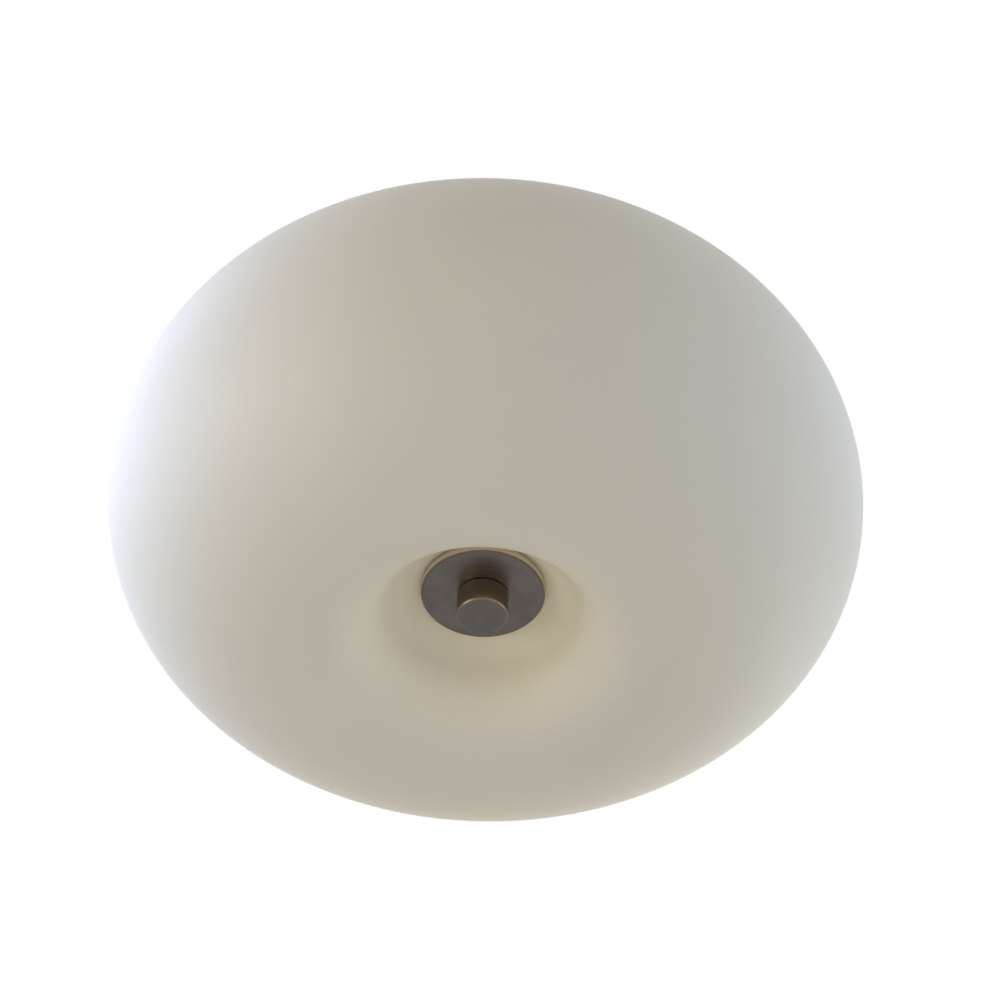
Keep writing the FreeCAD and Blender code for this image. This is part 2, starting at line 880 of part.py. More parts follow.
def holder_screws():
    """Two screws through each leg of the bracket into its lampholder."""
    head_end = holder_back_reach - bracket_sheet
    screw = turned_on_lamp(
        sharp(
            [
                (head_end - holder_screw_head_height, 0),
                (head_end - holder_screw_head_height, holder_screw_head_radius),
                (head_end, holder_screw_head_radius),
                (head_end, holder_screw_radius),
                (holder_back_reach + holder_screw_depth, holder_screw_radius),
                (holder_back_reach + holder_screw_depth, 0),
            ]
        )
    )
    slot = Part.makeBox(
        driver_slot_depth + cut_overrun,
        driver_slot_width,
        2 * (holder_screw_head_radius + cut_overrun),
        Vector(
            head_end - holder_screw_head_height - cut_overrun,
            -driver_slot_width / 2,
            -holder_screw_head_radius - cut_overrun,
        ),
    )
    screw = screw.cut(slot)
    screws = []
    for azimuth in lamp_azimuths:
        for side in (-1, 1):
            placed = screw.copy()
            placed.translate(Vector(0, side * holder_screw_spacing / 2, 0))
            screws.append(at_lamp(placed, azimuth))
    return Part.makeCompound(screws)


def lead_bushes():
    """Grommets in the pan's floor, with a groove round the edge of their hole."""
    high = bush_flange_thickness - pan_floor_top_drop
    low = -pan_floor_drop - bush_flange_thickness
    bushes = []
    for azimuth in lamp_azimuths:
        bush = turned_on_centre(
            [
                (bush_bore_radius, low, bush_round),
                (bush_flange_radius, low, bush_round),
                (bush_flange_radius, -pan_floor_drop, 0),
                (bush_groove_radius, -pan_floor_drop, 0),
                (bush_groove_radius, -pan_floor_top_drop, 0),
                (bush_flange_radius, -pan_floor_top_drop, 0),
                (bush_flange_radius, high, bush_round),
                (bush_bore_radius, high, bush_round),
            ]
        )
        bush.translate(lamp_to_frame(bush_reach, 0, 0, azimuth))
        bushes.append(bush)
    return Part.makeCompound(bushes)


def pole_positions():
    """X of each pole of the terminal block: live, earth and neutral."""
    return [-block_pole_pitch, 0, block_pole_pitch]


def clamp_screw_places():
    """X and Y of each clamp screw of the terminal block."""
    return [
        (x, block_centre_y + side * clamp_screw_spacing / 2)
        for x in pole_positions()
        for side in (-1, 1)
    ]


def terminal_block():
    """Moulded block with a tunnel for each barrel and a well over each clamp screw."""
    length = len(pole_positions()) * block_pole_pitch + 2 * block_end_margin
    low = -pan_floor_top_drop
    high = low + block_height
    block = Part.makeBox(
        length, block_depth, block_height, Vector(-length / 2, block_centre_y - block_depth / 2, low)
    )
    block = block.makeFillet(
        block_round, [edge for edge in block.Edges if edge.CenterOfMass.z > low + block_height / 4]
    )
    for x in pole_positions():
        tunnel = Part.makeCylinder(
            barrel_radius + seat_clearance,
            block_depth + 2 * cut_overrun,
            Vector(x, block_centre_y - block_depth / 2 - cut_overrun, barrel_centre_z),
            Vector(0, 1, 0),
        )
        block = block.cut(tunnel)
    for x, y in clamp_screw_places():
        block = block.cut(post(x, y, block_screw_well_radius, barrel_centre_z, high + cut_overrun))
    screw_x = block_pole_pitch / 2
    shank_hole = post(
        screw_x, block_centre_y, block_screw_radius + seat_clearance, low - cut_overrun, high + cut_overrun
    )
    head_well = post(
        screw_x,
        block_centre_y,
        block_screw_head_radius + seat_clearance,
        high - block_screw_head_sink,
        high + cut_overrun,
    )
    return block.cut(shank_hole).cut(head_well)


def terminal_barrels():
    """Brass barrels of the terminal block, each with two tapped holes from above."""
    barrels = []
    for x in pole_positions():
        start = Vector(x, block_centre_y - barrel_length / 2, barrel_centre_z)
        barrel = Part.makeCylinder(barrel_radius, barrel_length, start, Vector(0, 1, 0))
        bore = Part.makeCylinder(
            barrel_bore_radius,
            barrel_length + 2 * cut_overrun,
            start - Vector(0, cut_overrun, 0),
            Vector(0, 1, 0),
        )
        barrels.append(barrel.cut(bore))
    tapped = clamp_screw_radius + seat_clearance
    for x, y in clamp_screw_places():
        hole = post(x, y, tapped, barrel_centre_z, barrel_centre_z + barrel_radius + cut_overrun)
        barrels = [barrel.cut(hole) for barrel in barrels]
    return Part.makeCompound(barrels)


def slotted_screw_head(x, y, radius, high):
    """Cutter for the driver slot in an upright screw's head."""
    return Part.makeBox(
        2 * (radius + cut_overrun),
        driver_slot_width,
        driver_slot_depth + cut_overrun,
        Vector(x - radius - cut_overrun, y - driver_slot_width / 2, high - driver_slot_depth),
    )


def terminal_screws():
    """Clamp screws of the terminal block, backed off from the barrels' bores."""
    low = barrel_centre_z + barrel_bore_radius + clamp_screw_tip_gap
    high = low + clamp_screw_length
    screws = []
    for x, y in clamp_screw_places():
        screw = post(x, y, clamp_screw_radius, low, high)
        screws.append(screw.cut(slotted_screw_head(x, y, clamp_screw_radius, high)))
    return Part.makeCompound(screws)


def block_screw():
    """Screw that holds the terminal block to the pan."""
    x = block_pole_pitch / 2
    head_low = block_height - block_screw_head_sink - pan_floor_top_drop
    head_high = head_low + block_screw_head_height
    low = -pan_floor_drop - block_screw_tail
    shank = post(x, block_centre_y, block_screw_radius, low, head_low)
    head = post(x, block_centre_y, block_screw_head_radius, head_low, head_high)
    slot = slotted_screw_head(x, block_centre_y, block_screw_head_radius, head_high)
    return shank.fuse(head).cut(slot).removeSplitter()


def earth_screw():
    """Screw through the earth lug and the pan's floor."""
    head_low = lug_sheet - pan_floor_top_drop
    head_high = head_low + earth_head_height
    low = -pan_floor_drop - earth_screw_tail
    shank = post(0, earth_screw_y, earth_screw_radius, low, head_low)
    head = post(0, earth_screw_y, earth_head_radius, head_low, head_high)
    slot = slotted_screw_head(0, earth_screw_y, earth_head_radius, head_high)
    return shank.fuse(head).cut(slot).removeSplitter()


def earth_nut():
    """Nut on the earth screw, under the pan."""
    high = -pan_floor_drop
    low = high - earth_nut_height
    nut = chamfered_nut(0, earth_screw_y, earth_nut_flats, low, high, ("low",))
    bore = post(0, earth_screw_y, earth_screw_radius + seat_clearance, low - cut_overrun, high + cut_overrun)
    return nut.cut(bore)


def lug_barrel_ends():
    """Y of the lug barrel's two ends, the lead's end first."""
    near_screw = earth_screw_y - lug_ring_radius - lug_barrel_gap
    return near_screw - lug_barrel_length, near_screw


def earth_lug():
    """Ring tongue under the earth screw's head, with a barrel for the earth lead."""
    low = -pan_floor_top_drop
    lead_end, near_screw = lug_barrel_ends()
    plate = post(0, earth_screw_y, lug_ring_radius, low, low + lug_sheet)
    tongue = Part.makeBox(
        lug_tongue_width,
        earth_screw_y - near_screw,
        lug_sheet,
        Vector(-lug_tongue_width / 2, near_screw, low),
    )
    barrel = Part.makeCylinder(
        lug_barrel_radius,
        lug_barrel_length,
        Vector(0, lead_end, low + lug_barrel_radius),
        Vector(0, 1, 0),
    )
    bore = Part.makeCylinder(
        lead_radius + seat_clearance,
        lug_lead_depth + cut_overrun,
        Vector(0, lead_end - cut_overrun, low + lug_barrel_radius),
        Vector(0, 1, 0),
    )
    hole = post(0, earth_screw_y, earth_screw_radius + seat_clearance, low - cut_overrun, low + 2 * lug_sheet)
    return plate.fuse(tongue).fuse(barrel).cut(bore).cut(hole).removeSplitter()


def bundle_start(pole_x, number):
    """Where one of the leads of a pole starts, at the front end of the pole's barrel."""
    angle = math.radians(lead_bundle_first_angle + full_turn * number / lamp_count)
    return Vector(
        pole_x + lead_bundle_radius * math.cos(angle),
        barrel_front_y,
        barrel_centre_z + lead_bundle_radius * math.sin(angle),
    )


def lead_points(start, route, azimuth, side):
    """Corners of one lead from the terminal block through its bush to its holder's pocket."""
    offset = side * lead_pair_spacing / 2
    pocket_floor = lead_pocket_floor() - lamp_axis_drop
    return (
        [start, start + Vector(0, lead_exit_run, 0)]
        + [Vector(*point) for point in route]
        + [
            lamp_to_frame(bush_reach, offset, -bend_over_bush_drop, azimuth),
            lamp_to_frame(bush_reach + lead_slack_reach, offset, -lead_slack_drop, azimuth),
            lamp_to_frame(bush_reach, offset, -lead_entry_drop, azimuth),
            lamp_to_frame(bush_reach, offset, pocket_floor, azimuth),
        ]
    )


def supply_leads(name, pole_x, routes, sides):
    """The leads of one pole, one to each lampholder."""
    tubes = []
    for number, azimuth in enumerate(lamp_azimuths):
        start = bundle_start(pole_x, number)
        points = lead_points(start, routes[number], azimuth, sides[number])
        tubes.append(lead_tube(f"{name} {number + 1}", points))
    return Part.makeCompound(tubes)


def live_leads():
    """Leads from the live pole."""
    return supply_leads("live lead", -block_pole_pitch, live_routes, live_end_sides)


def neutral_leads():
    """Leads from the neutral pole."""
    return supply_leads("neutral lead", block_pole_pitch, neutral_routes, neutral_end_sides)


def earth_lead():
    """Lead from the earth pole to the lug."""
    lead_end, near_screw = lug_barrel_ends()
    points = [Vector(0, barrel_front_y, barrel_centre_z)]
    points += [Vector(*point) for point in earth_route]
    points.append(Vector(0, lead_end + lug_lead_depth, lug_barrel_radius - pan_floor_top_drop))
    return lead_tube("earth lead", points)


def bulb_contact():
    """Centre contact of a lamp's cap."""
    tip = lamp_tip_reach
    return turned_on_lamp(
        [
            (tip, 0, 0),
            (tip, lamp_contact_radius, lamp_contact_round),
            (tip + lamp_contact_height, lamp_contact_radius, 0),
            (tip + lamp_contact_height, 0, 0),
        ]
    )


def bulb_insulator():
    """Insulating plug between the contact and the cap."""
    face = lamp_tip_reach + lamp_contact_height
    cone_end = face + lamp_insulator_cone
    plug_radius = lamp_cap_root_radius - lamp_cap_wall - seat_clearance
    return turned_on_lamp(
        sharp(
            [
                (face, 0),
                (face, lamp_insulator_face_radius),
                (cone_end, plug_radius),
                (cone_end + lamp_insulator_plug, plug_radius),
                (cone_end + lamp_insulator_plug, 0),
            ]
        )
    )


def bulb_cap():
    """Screw cap of a lamp, with rounded ridges in place of its thread."""
    inner = lamp_cap_root_radius - lamp_cap_wall
    start = lamp_tip_reach + lamp_contact_height + lamp_insulator_cone
    end = lamp_tip_reach + lamp_cap_end
    corners = [(start, inner, 0), (start, inner + lamp_cap_wall / 2, 0)]
    corners.append((start + lamp_cap_cone, lamp_cap_root_radius, 0))
    ridge_round = lamp_cap_pitch / 4
    for number in range(lamp_cap_ridges):
        foot = start + lamp_cap_cone + number * lamp_cap_pitch
        corners.append((foot + lamp_cap_pitch / 2, lamp_cap_radius, ridge_round))
        corners.append((foot + lamp_cap_pitch, lamp_cap_root_radius, ridge_round))
    collar = start + lamp_cap_cone + lamp_cap_ridges * lamp_cap_pitch + lamp_cap_pitch / 2
    corners.append((collar, lamp_cap_radius, 0))
    corners.append((end, lamp_cap_radius, 0))
    corners.append((end, inner, 0))
    return turned_on_lamp(corners)


def housing_lip_radius():
    """Radius of the diffuser where it meets the housing's lip."""
    centre = lamp_length - lamp_diffuser_radius
    return math.sqrt(lamp_diffuser_radius**2 - (centre - lamp_housing_end) ** 2)


def bulb_housing():
    """Flared housing of a lamp, from its cap to the diffuser."""
    start = lamp_tip_reach + lamp_housing_start
    neck = start + lamp_housing_neck
    end = lamp_tip_reach + lamp_housing_end
    bore = lamp_cap_radius + seat_clearance
    lip = housing_lip_radius() + lamp_housing_lip
    cap_stop = lamp_tip_reach + lamp_cap_end
    wall = lamp_housing_wall
    return turned_on_lamp(
        [
            (start, bore, 0),
            (start, lamp_housing_base_radius, lamp_housing_lip),
            (neck, lamp_housing_base_radius, lamp_housing_sweep_radius),
            (end - lamp_housing_rim, lip, lamp_housing_rim_round),
            (end, lip, 0),
            (end, lip - wall, 0),
            (end - lamp_housing_rim, lip - wall, 0),
            (neck, lamp_housing_base_radius - wall, lamp_housing_sweep_radius),
            (cap_stop, lamp_housing_base_radius - wall, 0),
            (cap_stop, bore, 0),
        ]
    )


def bulb_board():
    """Round board inside a lamp, with a ring of light sources on its front."""
    front = lamp_tip_reach + lamp_housing_end - lamp_diffuser_spigot
    back = front - lamp_board_thickness
    radius = housing_lip_radius() + lamp_housing_lip - lamp_housing_wall - seat_clearance
    board = Part.makeCylinder(radius, lamp_board_thickness, Vector(back, 0, 0), Vector(1, 0, 0))
    circle = radius * lamp_led_circle_share
    for number in range(lamp_led_count):
        light = Part.makeBox(
            lamp_led_height,
            lamp_led_size,
            lamp_led_size,
            Vector(front, -lamp_led_size / 2, circle - lamp_led_size / 2),
        )
        light.rotate(Vector(0, 0, 0), Vector(1, 0, 0), full_turn * number / lamp_led_count)
        board = board.fuse(light)
    return board


def bulb_diffuser():
    """Round diffuser shell of a lamp, with a spigot inside the housing's lip."""
    outer = lamp_diffuser_radius
    inner = outer - lamp_diffuser_wall
    centre = lamp_tip_reach + lamp_length - outer
    end = lamp_tip_reach + lamp_housing_end
    edge_outer = housing_lip_radius()
    spigot_outer = edge_outer + lamp_housing_lip - lamp_housing_wall - seat_clearance
    spigot_inner = spigot_outer - lamp_diffuser_wall
    inner_end = centre - math.sqrt(inner**2 - spigot_inner**2)
    half = math.sqrt(1 / 2)
    spigot_start = end - lamp_diffuser_spigot
    outer_middle = axial_point(centre + outer * half, outer * half)
    inner_middle = axial_point(centre + inner * half, inner * half)
    points = [
        axial_point(spigot_start, spigot_inner),
        axial_point(spigot_start, spigot_outer),
        axial_point(end, spigot_outer),
        axial_point(end, edge_outer),
    ]
    edges = [Part.LineSegment(a, b).toShape() for a, b in zip(points, points[1:])]
    tip_outer = axial_point(centre + outer, 0)
    tip_inner = axial_point(centre + inner, 0)
    inner_edge = axial_point(inner_end, spigot_inner)
    edges.append(Part.Arc(points[-1], outer_middle, tip_outer).toShape())
    edges.append(Part.LineSegment(tip_outer, tip_inner).toShape())
    edges.append(Part.Arc(tip_inner, inner_middle, inner_edge).toShape())
    edges.append(Part.LineSegment(inner_edge, points[0]).toShape())
    return turned(edges, Vector(1, 0, 0))


def build():
    """Every node of the light, by name."""
    nodes = {
        "mounting_bar": mounting_bar(),
        "bar_studs": bar_studs(),
        "pan_cap_nuts": pan_cap_nuts(),
        "ceiling_pan": ceiling_pan(),
        "rim_gasket": rim_gasket(),
        "threaded_tube": threaded_tube(),
        "tube_nut_upper": tube_nut_upper(),
        "tube_nut_lower": tube_nut_lower(),
        "tube_washers": tube_washers(),
        "lamp_bracket": lamp_bracket(),
        "holder_screws": holder_screws(),
        "lead_bushes": lead_bushes(),
        "terminal_block": terminal_block(),
        "terminal_barrels": terminal_barrels(),
        "terminal_screws": terminal_screws(),
        "block_screw": block_screw(),
        "earth_screw": earth_screw(),
        "earth_nut": earth_nut(),
        "earth_lug": earth_lug(),
        "live_leads": live_leads(),
        "neutral_leads": neutral_leads(),
        "earth_lead": earth_lead(),
        "glass_shade": glass_shade(),
        "glass_bush": glass_bush(),
        "disc_gasket": disc_gasket(),
        "cover_disc": cover_disc(),
        "knob_washer": knob_washer(),
        "knob": knob(),
    }
    lamp_pieces = {
        "holder_{}_body": holder_body(),
        "holder_{}_shell": holder_shell(),
        "holder_{}_contact": holder_contact(),
        "bulb_{}_contact": bulb_contact(),
        "bulb_{}_insulator": bulb_insulator(),
        "bulb_{}_cap": bulb_cap(),
        "bulb_{}_housing": bulb_housing(),
        "bulb_{}_board": bulb_board(),
        "bulb_{}_diffuser": bulb_diffuser(),
    }
    for name, shape in lamp_pieces.items():
        for number, azimuth in enumerate(lamp_azimuths):
            nodes[name.format(number + 1)] = at_lamp(shape, azimuth)
    return nodes


def main():
    """Write one file to each node."""
    os.makedirs("parts", exist_ok=True)
    for name, shape in build().items():
        shape.exportStep(f"parts/{name}.step")
        print(name, len(shape.Solids), "solids, valid:", shape.isValid())


main()
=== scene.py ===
"""Looks of a flush ceiling light with a satin opal glass shade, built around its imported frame.

Everything is in metres, in the frame's own axes: the ceiling is the plane z = 0, the light hangs
below it and its own axis is the Z axis. A drop is a distance below the ceiling, and a reach is a
distance from the Z axis along a lamp's own axis. The photograph's camera stands below the light
on the -Y side and looks up.
"""

import json
import logging
import math
from dataclasses import dataclass, replace
from enum import Enum

import bmesh
import bpy
from mathutils import Matrix, Vector


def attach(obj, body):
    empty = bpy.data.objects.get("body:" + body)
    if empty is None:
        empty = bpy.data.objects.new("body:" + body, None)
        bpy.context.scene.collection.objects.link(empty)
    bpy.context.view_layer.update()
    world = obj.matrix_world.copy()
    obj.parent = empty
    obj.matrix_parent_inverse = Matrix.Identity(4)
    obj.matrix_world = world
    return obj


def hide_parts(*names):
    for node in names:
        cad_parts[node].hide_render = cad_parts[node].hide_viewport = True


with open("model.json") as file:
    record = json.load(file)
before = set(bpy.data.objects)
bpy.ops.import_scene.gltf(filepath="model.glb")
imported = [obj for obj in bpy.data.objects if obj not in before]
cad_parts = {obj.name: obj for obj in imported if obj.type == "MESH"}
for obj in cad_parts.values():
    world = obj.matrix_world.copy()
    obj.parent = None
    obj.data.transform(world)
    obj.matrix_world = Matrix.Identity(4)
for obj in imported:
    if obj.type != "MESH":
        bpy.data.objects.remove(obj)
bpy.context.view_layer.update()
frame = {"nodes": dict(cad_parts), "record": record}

log = logging.getLogger("ceiling_light")

MM = 0.001
FULL_TURN = 2 * math.pi
UP = Vector((0, 0, 1))
ORIGIN = Vector((0, 0, 0))
# Points of a piece that lie nearer than this are one point.
WELD = 2e-6
# A point this near to a plane lies on it.
ON_PLANE = 1e-7
# The same two distances for a thread, as shares of its pitch.
THREAD_WELD = 1e-3
THREAD_ON_PLANE = 1e-4
# Turns of a thread that are made beyond each of its ends, and cut off.
SPARE_TURNS = 2
# Most of a noise texture's values lie between these two.
NOISE_LOW, NOISE_HIGH = 0.3, 0.7
# Value of the noise at which a colour starts to drift.
DRIFT_START = 0.35


class Slot(Enum):
    """Material slots of the record."""

    OPAL_GLASS = "opal_glass"
    SATIN_NICKEL = "satin_nickel"
    BRIGHT_NICKEL = "bright_nickel"
    ZINC_STEEL = "zinc_steel"
    WHITE_ENAMEL = "white_enamel"
    BRASS = "brass"
    TINNED_COPPER = "tinned_copper"
    SOLDER = "solder"
    WHITE_SILICONE = "white_silicone"
    CLEAR_NYLON = "clear_nylon"
    WHITE_MOULDING = "white_moulding"
    BLACK_GLASS = "black_glass"
    LAMP_PLASTIC = "lamp_plastic"
    FROSTED_PLASTIC = "frosted_plastic"
    WHITE_BOARD = "white_board"
    BROWN_INSULATION = "brown_insulation"
    BLUE_INSULATION = "blue_insulation"
    GREEN_YELLOW_INSULATION = "green_yellow_insulation"


class Marks(Enum):
    """Way that the marks of a metal's making run, as the scale of their pattern in X, Y and Z."""

    EVEN = (1.0, 1.0, 1.0)
    ALONG_X = (0.04, 1.0, 1.0)


class Pole(Enum):
    """Pole of the supply that a lead belongs to, with the side of the lamp that it ends on."""

    LIVE = 1
    NEUTRAL = -1


def linear_colour(code: str) -> tuple[float, float, float, float]:
    """Turn an sRGB hex code into the linear colour that a shader takes.

    Args:
        code: Six hex digits after a hash sign.

    Returns:
        Linear red, green and blue, and an alpha of one.
    """
    parts = [int(code[start : start + 2], 16) / 255 for start in (1, 3, 5)]
    lit = [part / 12.92 if part <= 0.04045 else ((part + 0.055) / 1.055) ** 2.4 for part in parts]
    return (lit[0], lit[1], lit[2], 1.0)


def per_size(millimetres: float) -> float:
    """Scale of a pattern whose cells are that many millimetres across."""
    return 1 / (millimetres * MM)


def add_node(
    tree: bpy.types.NodeTree, kind: str, takes: dict | None = None, **settings: object
) -> bpy.types.Node:
    """Add a node with its settings and what its sockets take.

    Args:
        tree: The tree that gets the node.
        kind: The node's type without its leading word.
        takes: Socket names or places, each with a value or with the socket that feeds it.
        settings: Properties of the node.

    Returns:
        The new node.
    """
    node = tree.nodes.new("ShaderNode" + kind)
    for name, value in settings.items():
        setattr(node, name, value)
    for socket, value in (takes or {}).items():
        if isinstance(value, bpy.types.NodeSocket):
            tree.links.new(value, node.inputs[socket])
        else:
            node.inputs[socket].default_value = value
    return node


@dataclass(frozen=True)
class Surface:
    """The nodes of one material.

    Attributes:
        tree: The material's tree.
        shader: Its principled shader.
        place: Object coordinates, in metres.
    """

    tree: bpy.types.NodeTree
    shader: bpy.types.Node
    place: bpy.types.NodeSocket

    def axes(self) -> tuple[bpy.types.NodeSocket, bpy.types.NodeSocket]:
        """Split the place of a turned piece.

        Returns:
            Its distance from the Z axis, and its height.
        """
        parts = add_node(self.tree, "SeparateXYZ", {0: self.place})
        across = add_node(self.tree, "CombineXYZ", {0: parts.outputs[0], 1: parts.outputs[1]})
        radius = add_node(self.tree, "VectorMath", {0: across.outputs[0]}, operation="LENGTH")
        return radius.outputs["Value"], parts.outputs[2]


@dataclass(frozen=True)
class Specks:
    """Small soft specks, scattered over a colour.

    Attributes:
        colour: Their colour.
        size_mm: Size of a speck.
        spacing_mm: Distance from speck to speck.
        rim: Where a speck starts and ends to fade, as shares of its size.
        strength: Share of their own colour in their middle.
    """

    colour: str
    size_mm: float
    spacing_mm: float
    rim: tuple[float, float]
    strength: float

    def over(self, under: bpy.types.NodeSocket, surface: Surface) -> bpy.types.NodeSocket:
        """Scatter the specks over a colour.

        Args:
            under: The colour.
            surface: The material's nodes.

        Returns:
            The specked colour.
        """
        takes = {"Vector": surface.place, "Scale": per_size(self.spacing_mm)}
        cells = add_node(surface.tree, "TexVoronoi", takes)
        inner, outer = (self.size_mm / self.spacing_mm * share for share in self.rim)
        takes = {0: cells.outputs["Distance"], 1: inner, 2: outer, 3: self.strength, 4: 0.0}
        amount = add_node(surface.tree, "MapRange", takes)
        takes = {0: amount.outputs[0], 6: under, 7: linear_colour(self.colour)}
        return add_node(surface.tree, "Mix", takes, data_type="RGBA").outputs[2]


@dataclass(frozen=True)
class Finish:
    """A real material with the surface that its making gave it.

    Its colour drifts from one tone into another in soft patches, and the grain of its skin makes
    its relief and its uneven roughness. Each kind adds marks of its own.

    Attributes:
        name: Name of the material.
        roughness: Typical roughness.
        base: Main colour.
        other: Colour that it drifts into.
        drift_mm: Size of the patches.
        grain_mm: Size of the grain.
        grain_depth_mm: Depth of the grain.
        drift_detail: Detail of the patches' edges.
        drift_full: Value of the noise from which the other colour is full.
        drift_bend: Distortion of the patches.
        grain_detail: Detail of the grain.
        spread: How far the roughness goes below and above its middle, where it is uneven.
        metallic: One for a bare metal.
        ior: Typical index of refraction. A metal keeps the shader's own.
    """

    name: str
    roughness: float
    base: str
    other: str
    drift_mm: float
    grain_mm: float
    grain_depth_mm: float
    drift_detail: float = 4.0
    drift_full: float = 0.68
    drift_bend: float = 0.0
    grain_detail: float = 1.0
    spread: tuple[float, float] | None = None
    metallic: float = 0.0
    ior: float = 1.5

    def tone(self, surface: Surface) -> bpy.types.NodeSocket:
        """Let the main colour drift into the other one.

        Args:
            surface: The material's nodes.

        Returns:
            The colour.
        """
        takes = {"Vector": surface.place, "Scale": per_size(self.drift_mm)}
        takes |= {"Detail": self.drift_detail, "Distortion": self.drift_bend}
        patches = add_node(surface.tree, "TexNoise", takes)
        takes = {0: patches.outputs[0], 1: DRIFT_START, 2: self.drift_full}
        amount = add_node(surface.tree, "MapRange", takes)
        takes = {0: amount.outputs[0], 6: linear_colour(self.base), 7: linear_colour(self.other)}
        return add_node(surface.tree, "Mix", takes, data_type="RGBA").outputs[2]

    def grain(self, surface: Surface) -> bpy.types.NodeSocket:
        """Make the pattern of the grain.

        Args:
            surface: The material's nodes.

        Returns:
            The pattern.
        """
        takes = {"Vector": surface.place, "Scale": per_size(self.grain_mm)}
        takes["Detail"] = self.grain_detail
        return add_node(surface.tree, "TexNoise", takes).outputs[0]

    def dress(self, surface: Surface) -> None:
        """Give the shader its colour, roughness and relief.

        Args:
            surface: The material's nodes.
        """
        tree, inputs = surface.tree, surface.shader.inputs
        tree.links.new(self.tone(surface), inputs["Base Color"])
        grain = self.grain(surface)
        if self.spread:
            low, high = self.roughness - self.spread[0], self.roughness + self.spread[1]
            takes = {0: grain, 1: NOISE_LOW, 2: NOISE_HIGH, 3: low, 4: high}
            rough = add_node(tree, "MapRange", takes)
            tree.links.new(rough.outputs[0], inputs["Roughness"])
        relief = add_node(tree, "Bump", {"Height": grain, "Distance": self.grain_depth_mm * MM})
        tree.links.new(relief.outputs[0], inputs["Normal"])

    def material(self) -> bpy.types.Material:
        """Make the material, or take the one made before.

        Returns:
            The Blender material.
        """
        made = bpy.data.materials.get(self.name)
        if made is not None:
            return made
        made = bpy.data.materials.new(self.name)
        made.use_nodes = True
        tree = made.node_tree
        shader = tree.nodes["Principled BSDF"]
        shader.inputs["Roughness"].default_value = self.roughness
        shader.inputs["Metallic"].default_value = self.metallic
        if not self.metallic:
            shader.inputs["IOR"].default_value = self.ior
        self.dress(Surface(tree, shader, add_node(tree, "TexCoord").outputs["Object"]))
        return made


@dataclass(frozen=True)
class OpalGlass(Finish):
    """Mouth-blown opal glass, acid-etched to a satin skin.

    The white layer scatters light under its surface, which softens each edge between light and
    shade. The etched skin shows no sharp highlight. Round the seat the colour is painted brighter
    and warmer, a painted glow in place of light that comes through the glass into the shaded
    well, and a few seeds show as faint grey specks.

    Attributes:
        base: Colour of the glass.
        other: Colour of a painted glow round the seat, in place of light through the glass.
        drift_mm: Size of the slow waves in its thickness.
        wave_share: How far the waves move the colour between the base and the other one.
        seat_radius: Radius up to which the painted glow is full.
        glow_end_radius: Radius from which there is no painted glow.
        glow_falloff: Power of the painted glow's fall from full to none.
        seeds: The seeds.
        scatter: Share of the light that goes under the skin.
        scatter_depth: Distance that this light travels, in metres.
        scatter_tint: Share of that distance for red, green and blue.
    """

    base: str = "#DCD7CB"
    # The other colour is a painted glow round the seat, in place of light through the glass.
    other: str = "#F4EAD3"
    drift_mm: float = 90.0
    drift_detail: float = 2.0
    # The etched grain is some 0.05 mm across, and is drawn coarser so that it shows at all.
    grain_mm: float = 1.2
    grain_depth_mm: float = 0.006
    grain_detail: float = 3.0
    spread: tuple[float, float] = (0.03, 0.03)
    wave_share: float = 0.06
    seat_radius: float = 0.050
    glow_end_radius: float = 0.088
    glow_falloff: float = 1.1
    seeds: Specks = Specks("#C4BDAE", 1.4, 75.0, (0.6, 1.3), 0.55)
    scatter: float = 0.45
    scatter_depth: float = 0.006
    scatter_tint: tuple[float, float, float] = (1.0, 0.85, 0.6)

    def tone(self, surface: Surface) -> bpy.types.NodeSocket:
        """Lay the painted glow round the seat, the waves and the seeds.

        Args:
            surface: The material's nodes.

        Returns:
            The colour.
        """
        tree = surface.tree
        # Painted glow: round the seat the colour is lifted brighter and warmer, in place of light
        # through the glass.
        takes = {0: surface.axes()[0], 1: self.seat_radius, 2: self.glow_end_radius, 3: 1.0, 4: 0.0}
        seat = add_node(tree, "MapRange", takes)
        painted_glow = add_node(tree, "Math", {0: seat.outputs[0], 1: self.glow_falloff}, operation="POWER")
        takes = {"Vector": surface.place, "Scale": per_size(self.drift_mm)}
        wave = add_node(tree, "TexNoise", takes | {"Detail": self.drift_detail})
        takes = {1: NOISE_LOW, 2: NOISE_HIGH, 3: -self.wave_share, 4: self.wave_share}
        drift = add_node(tree, "MapRange", {0: wave.outputs[0]} | takes)
        takes = {0: painted_glow.outputs[0], 1: drift.outputs[0]}
        amount = add_node(tree, "Math", takes, operation="ADD", use_clamp=True)
        takes = {0: amount.outputs[0], 6: linear_colour(self.base), 7: linear_colour(self.other)}
        body = add_node(tree, "Mix", takes, data_type="RGBA")
        return self.seeds.over(body.outputs[2], surface)

    def dress(self, surface: Surface) -> None:
        """Lay the tone and the grain, and let light under the skin.

        Args:
            surface: The material's nodes.
        """
        super().dress(surface)
        inputs = surface.shader.inputs
        inputs["Subsurface Weight"].default_value = self.scatter
        inputs["Subsurface Radius"].default_value = self.scatter_tint
        inputs["Subsurface Scale"].default_value = self.scatter_depth


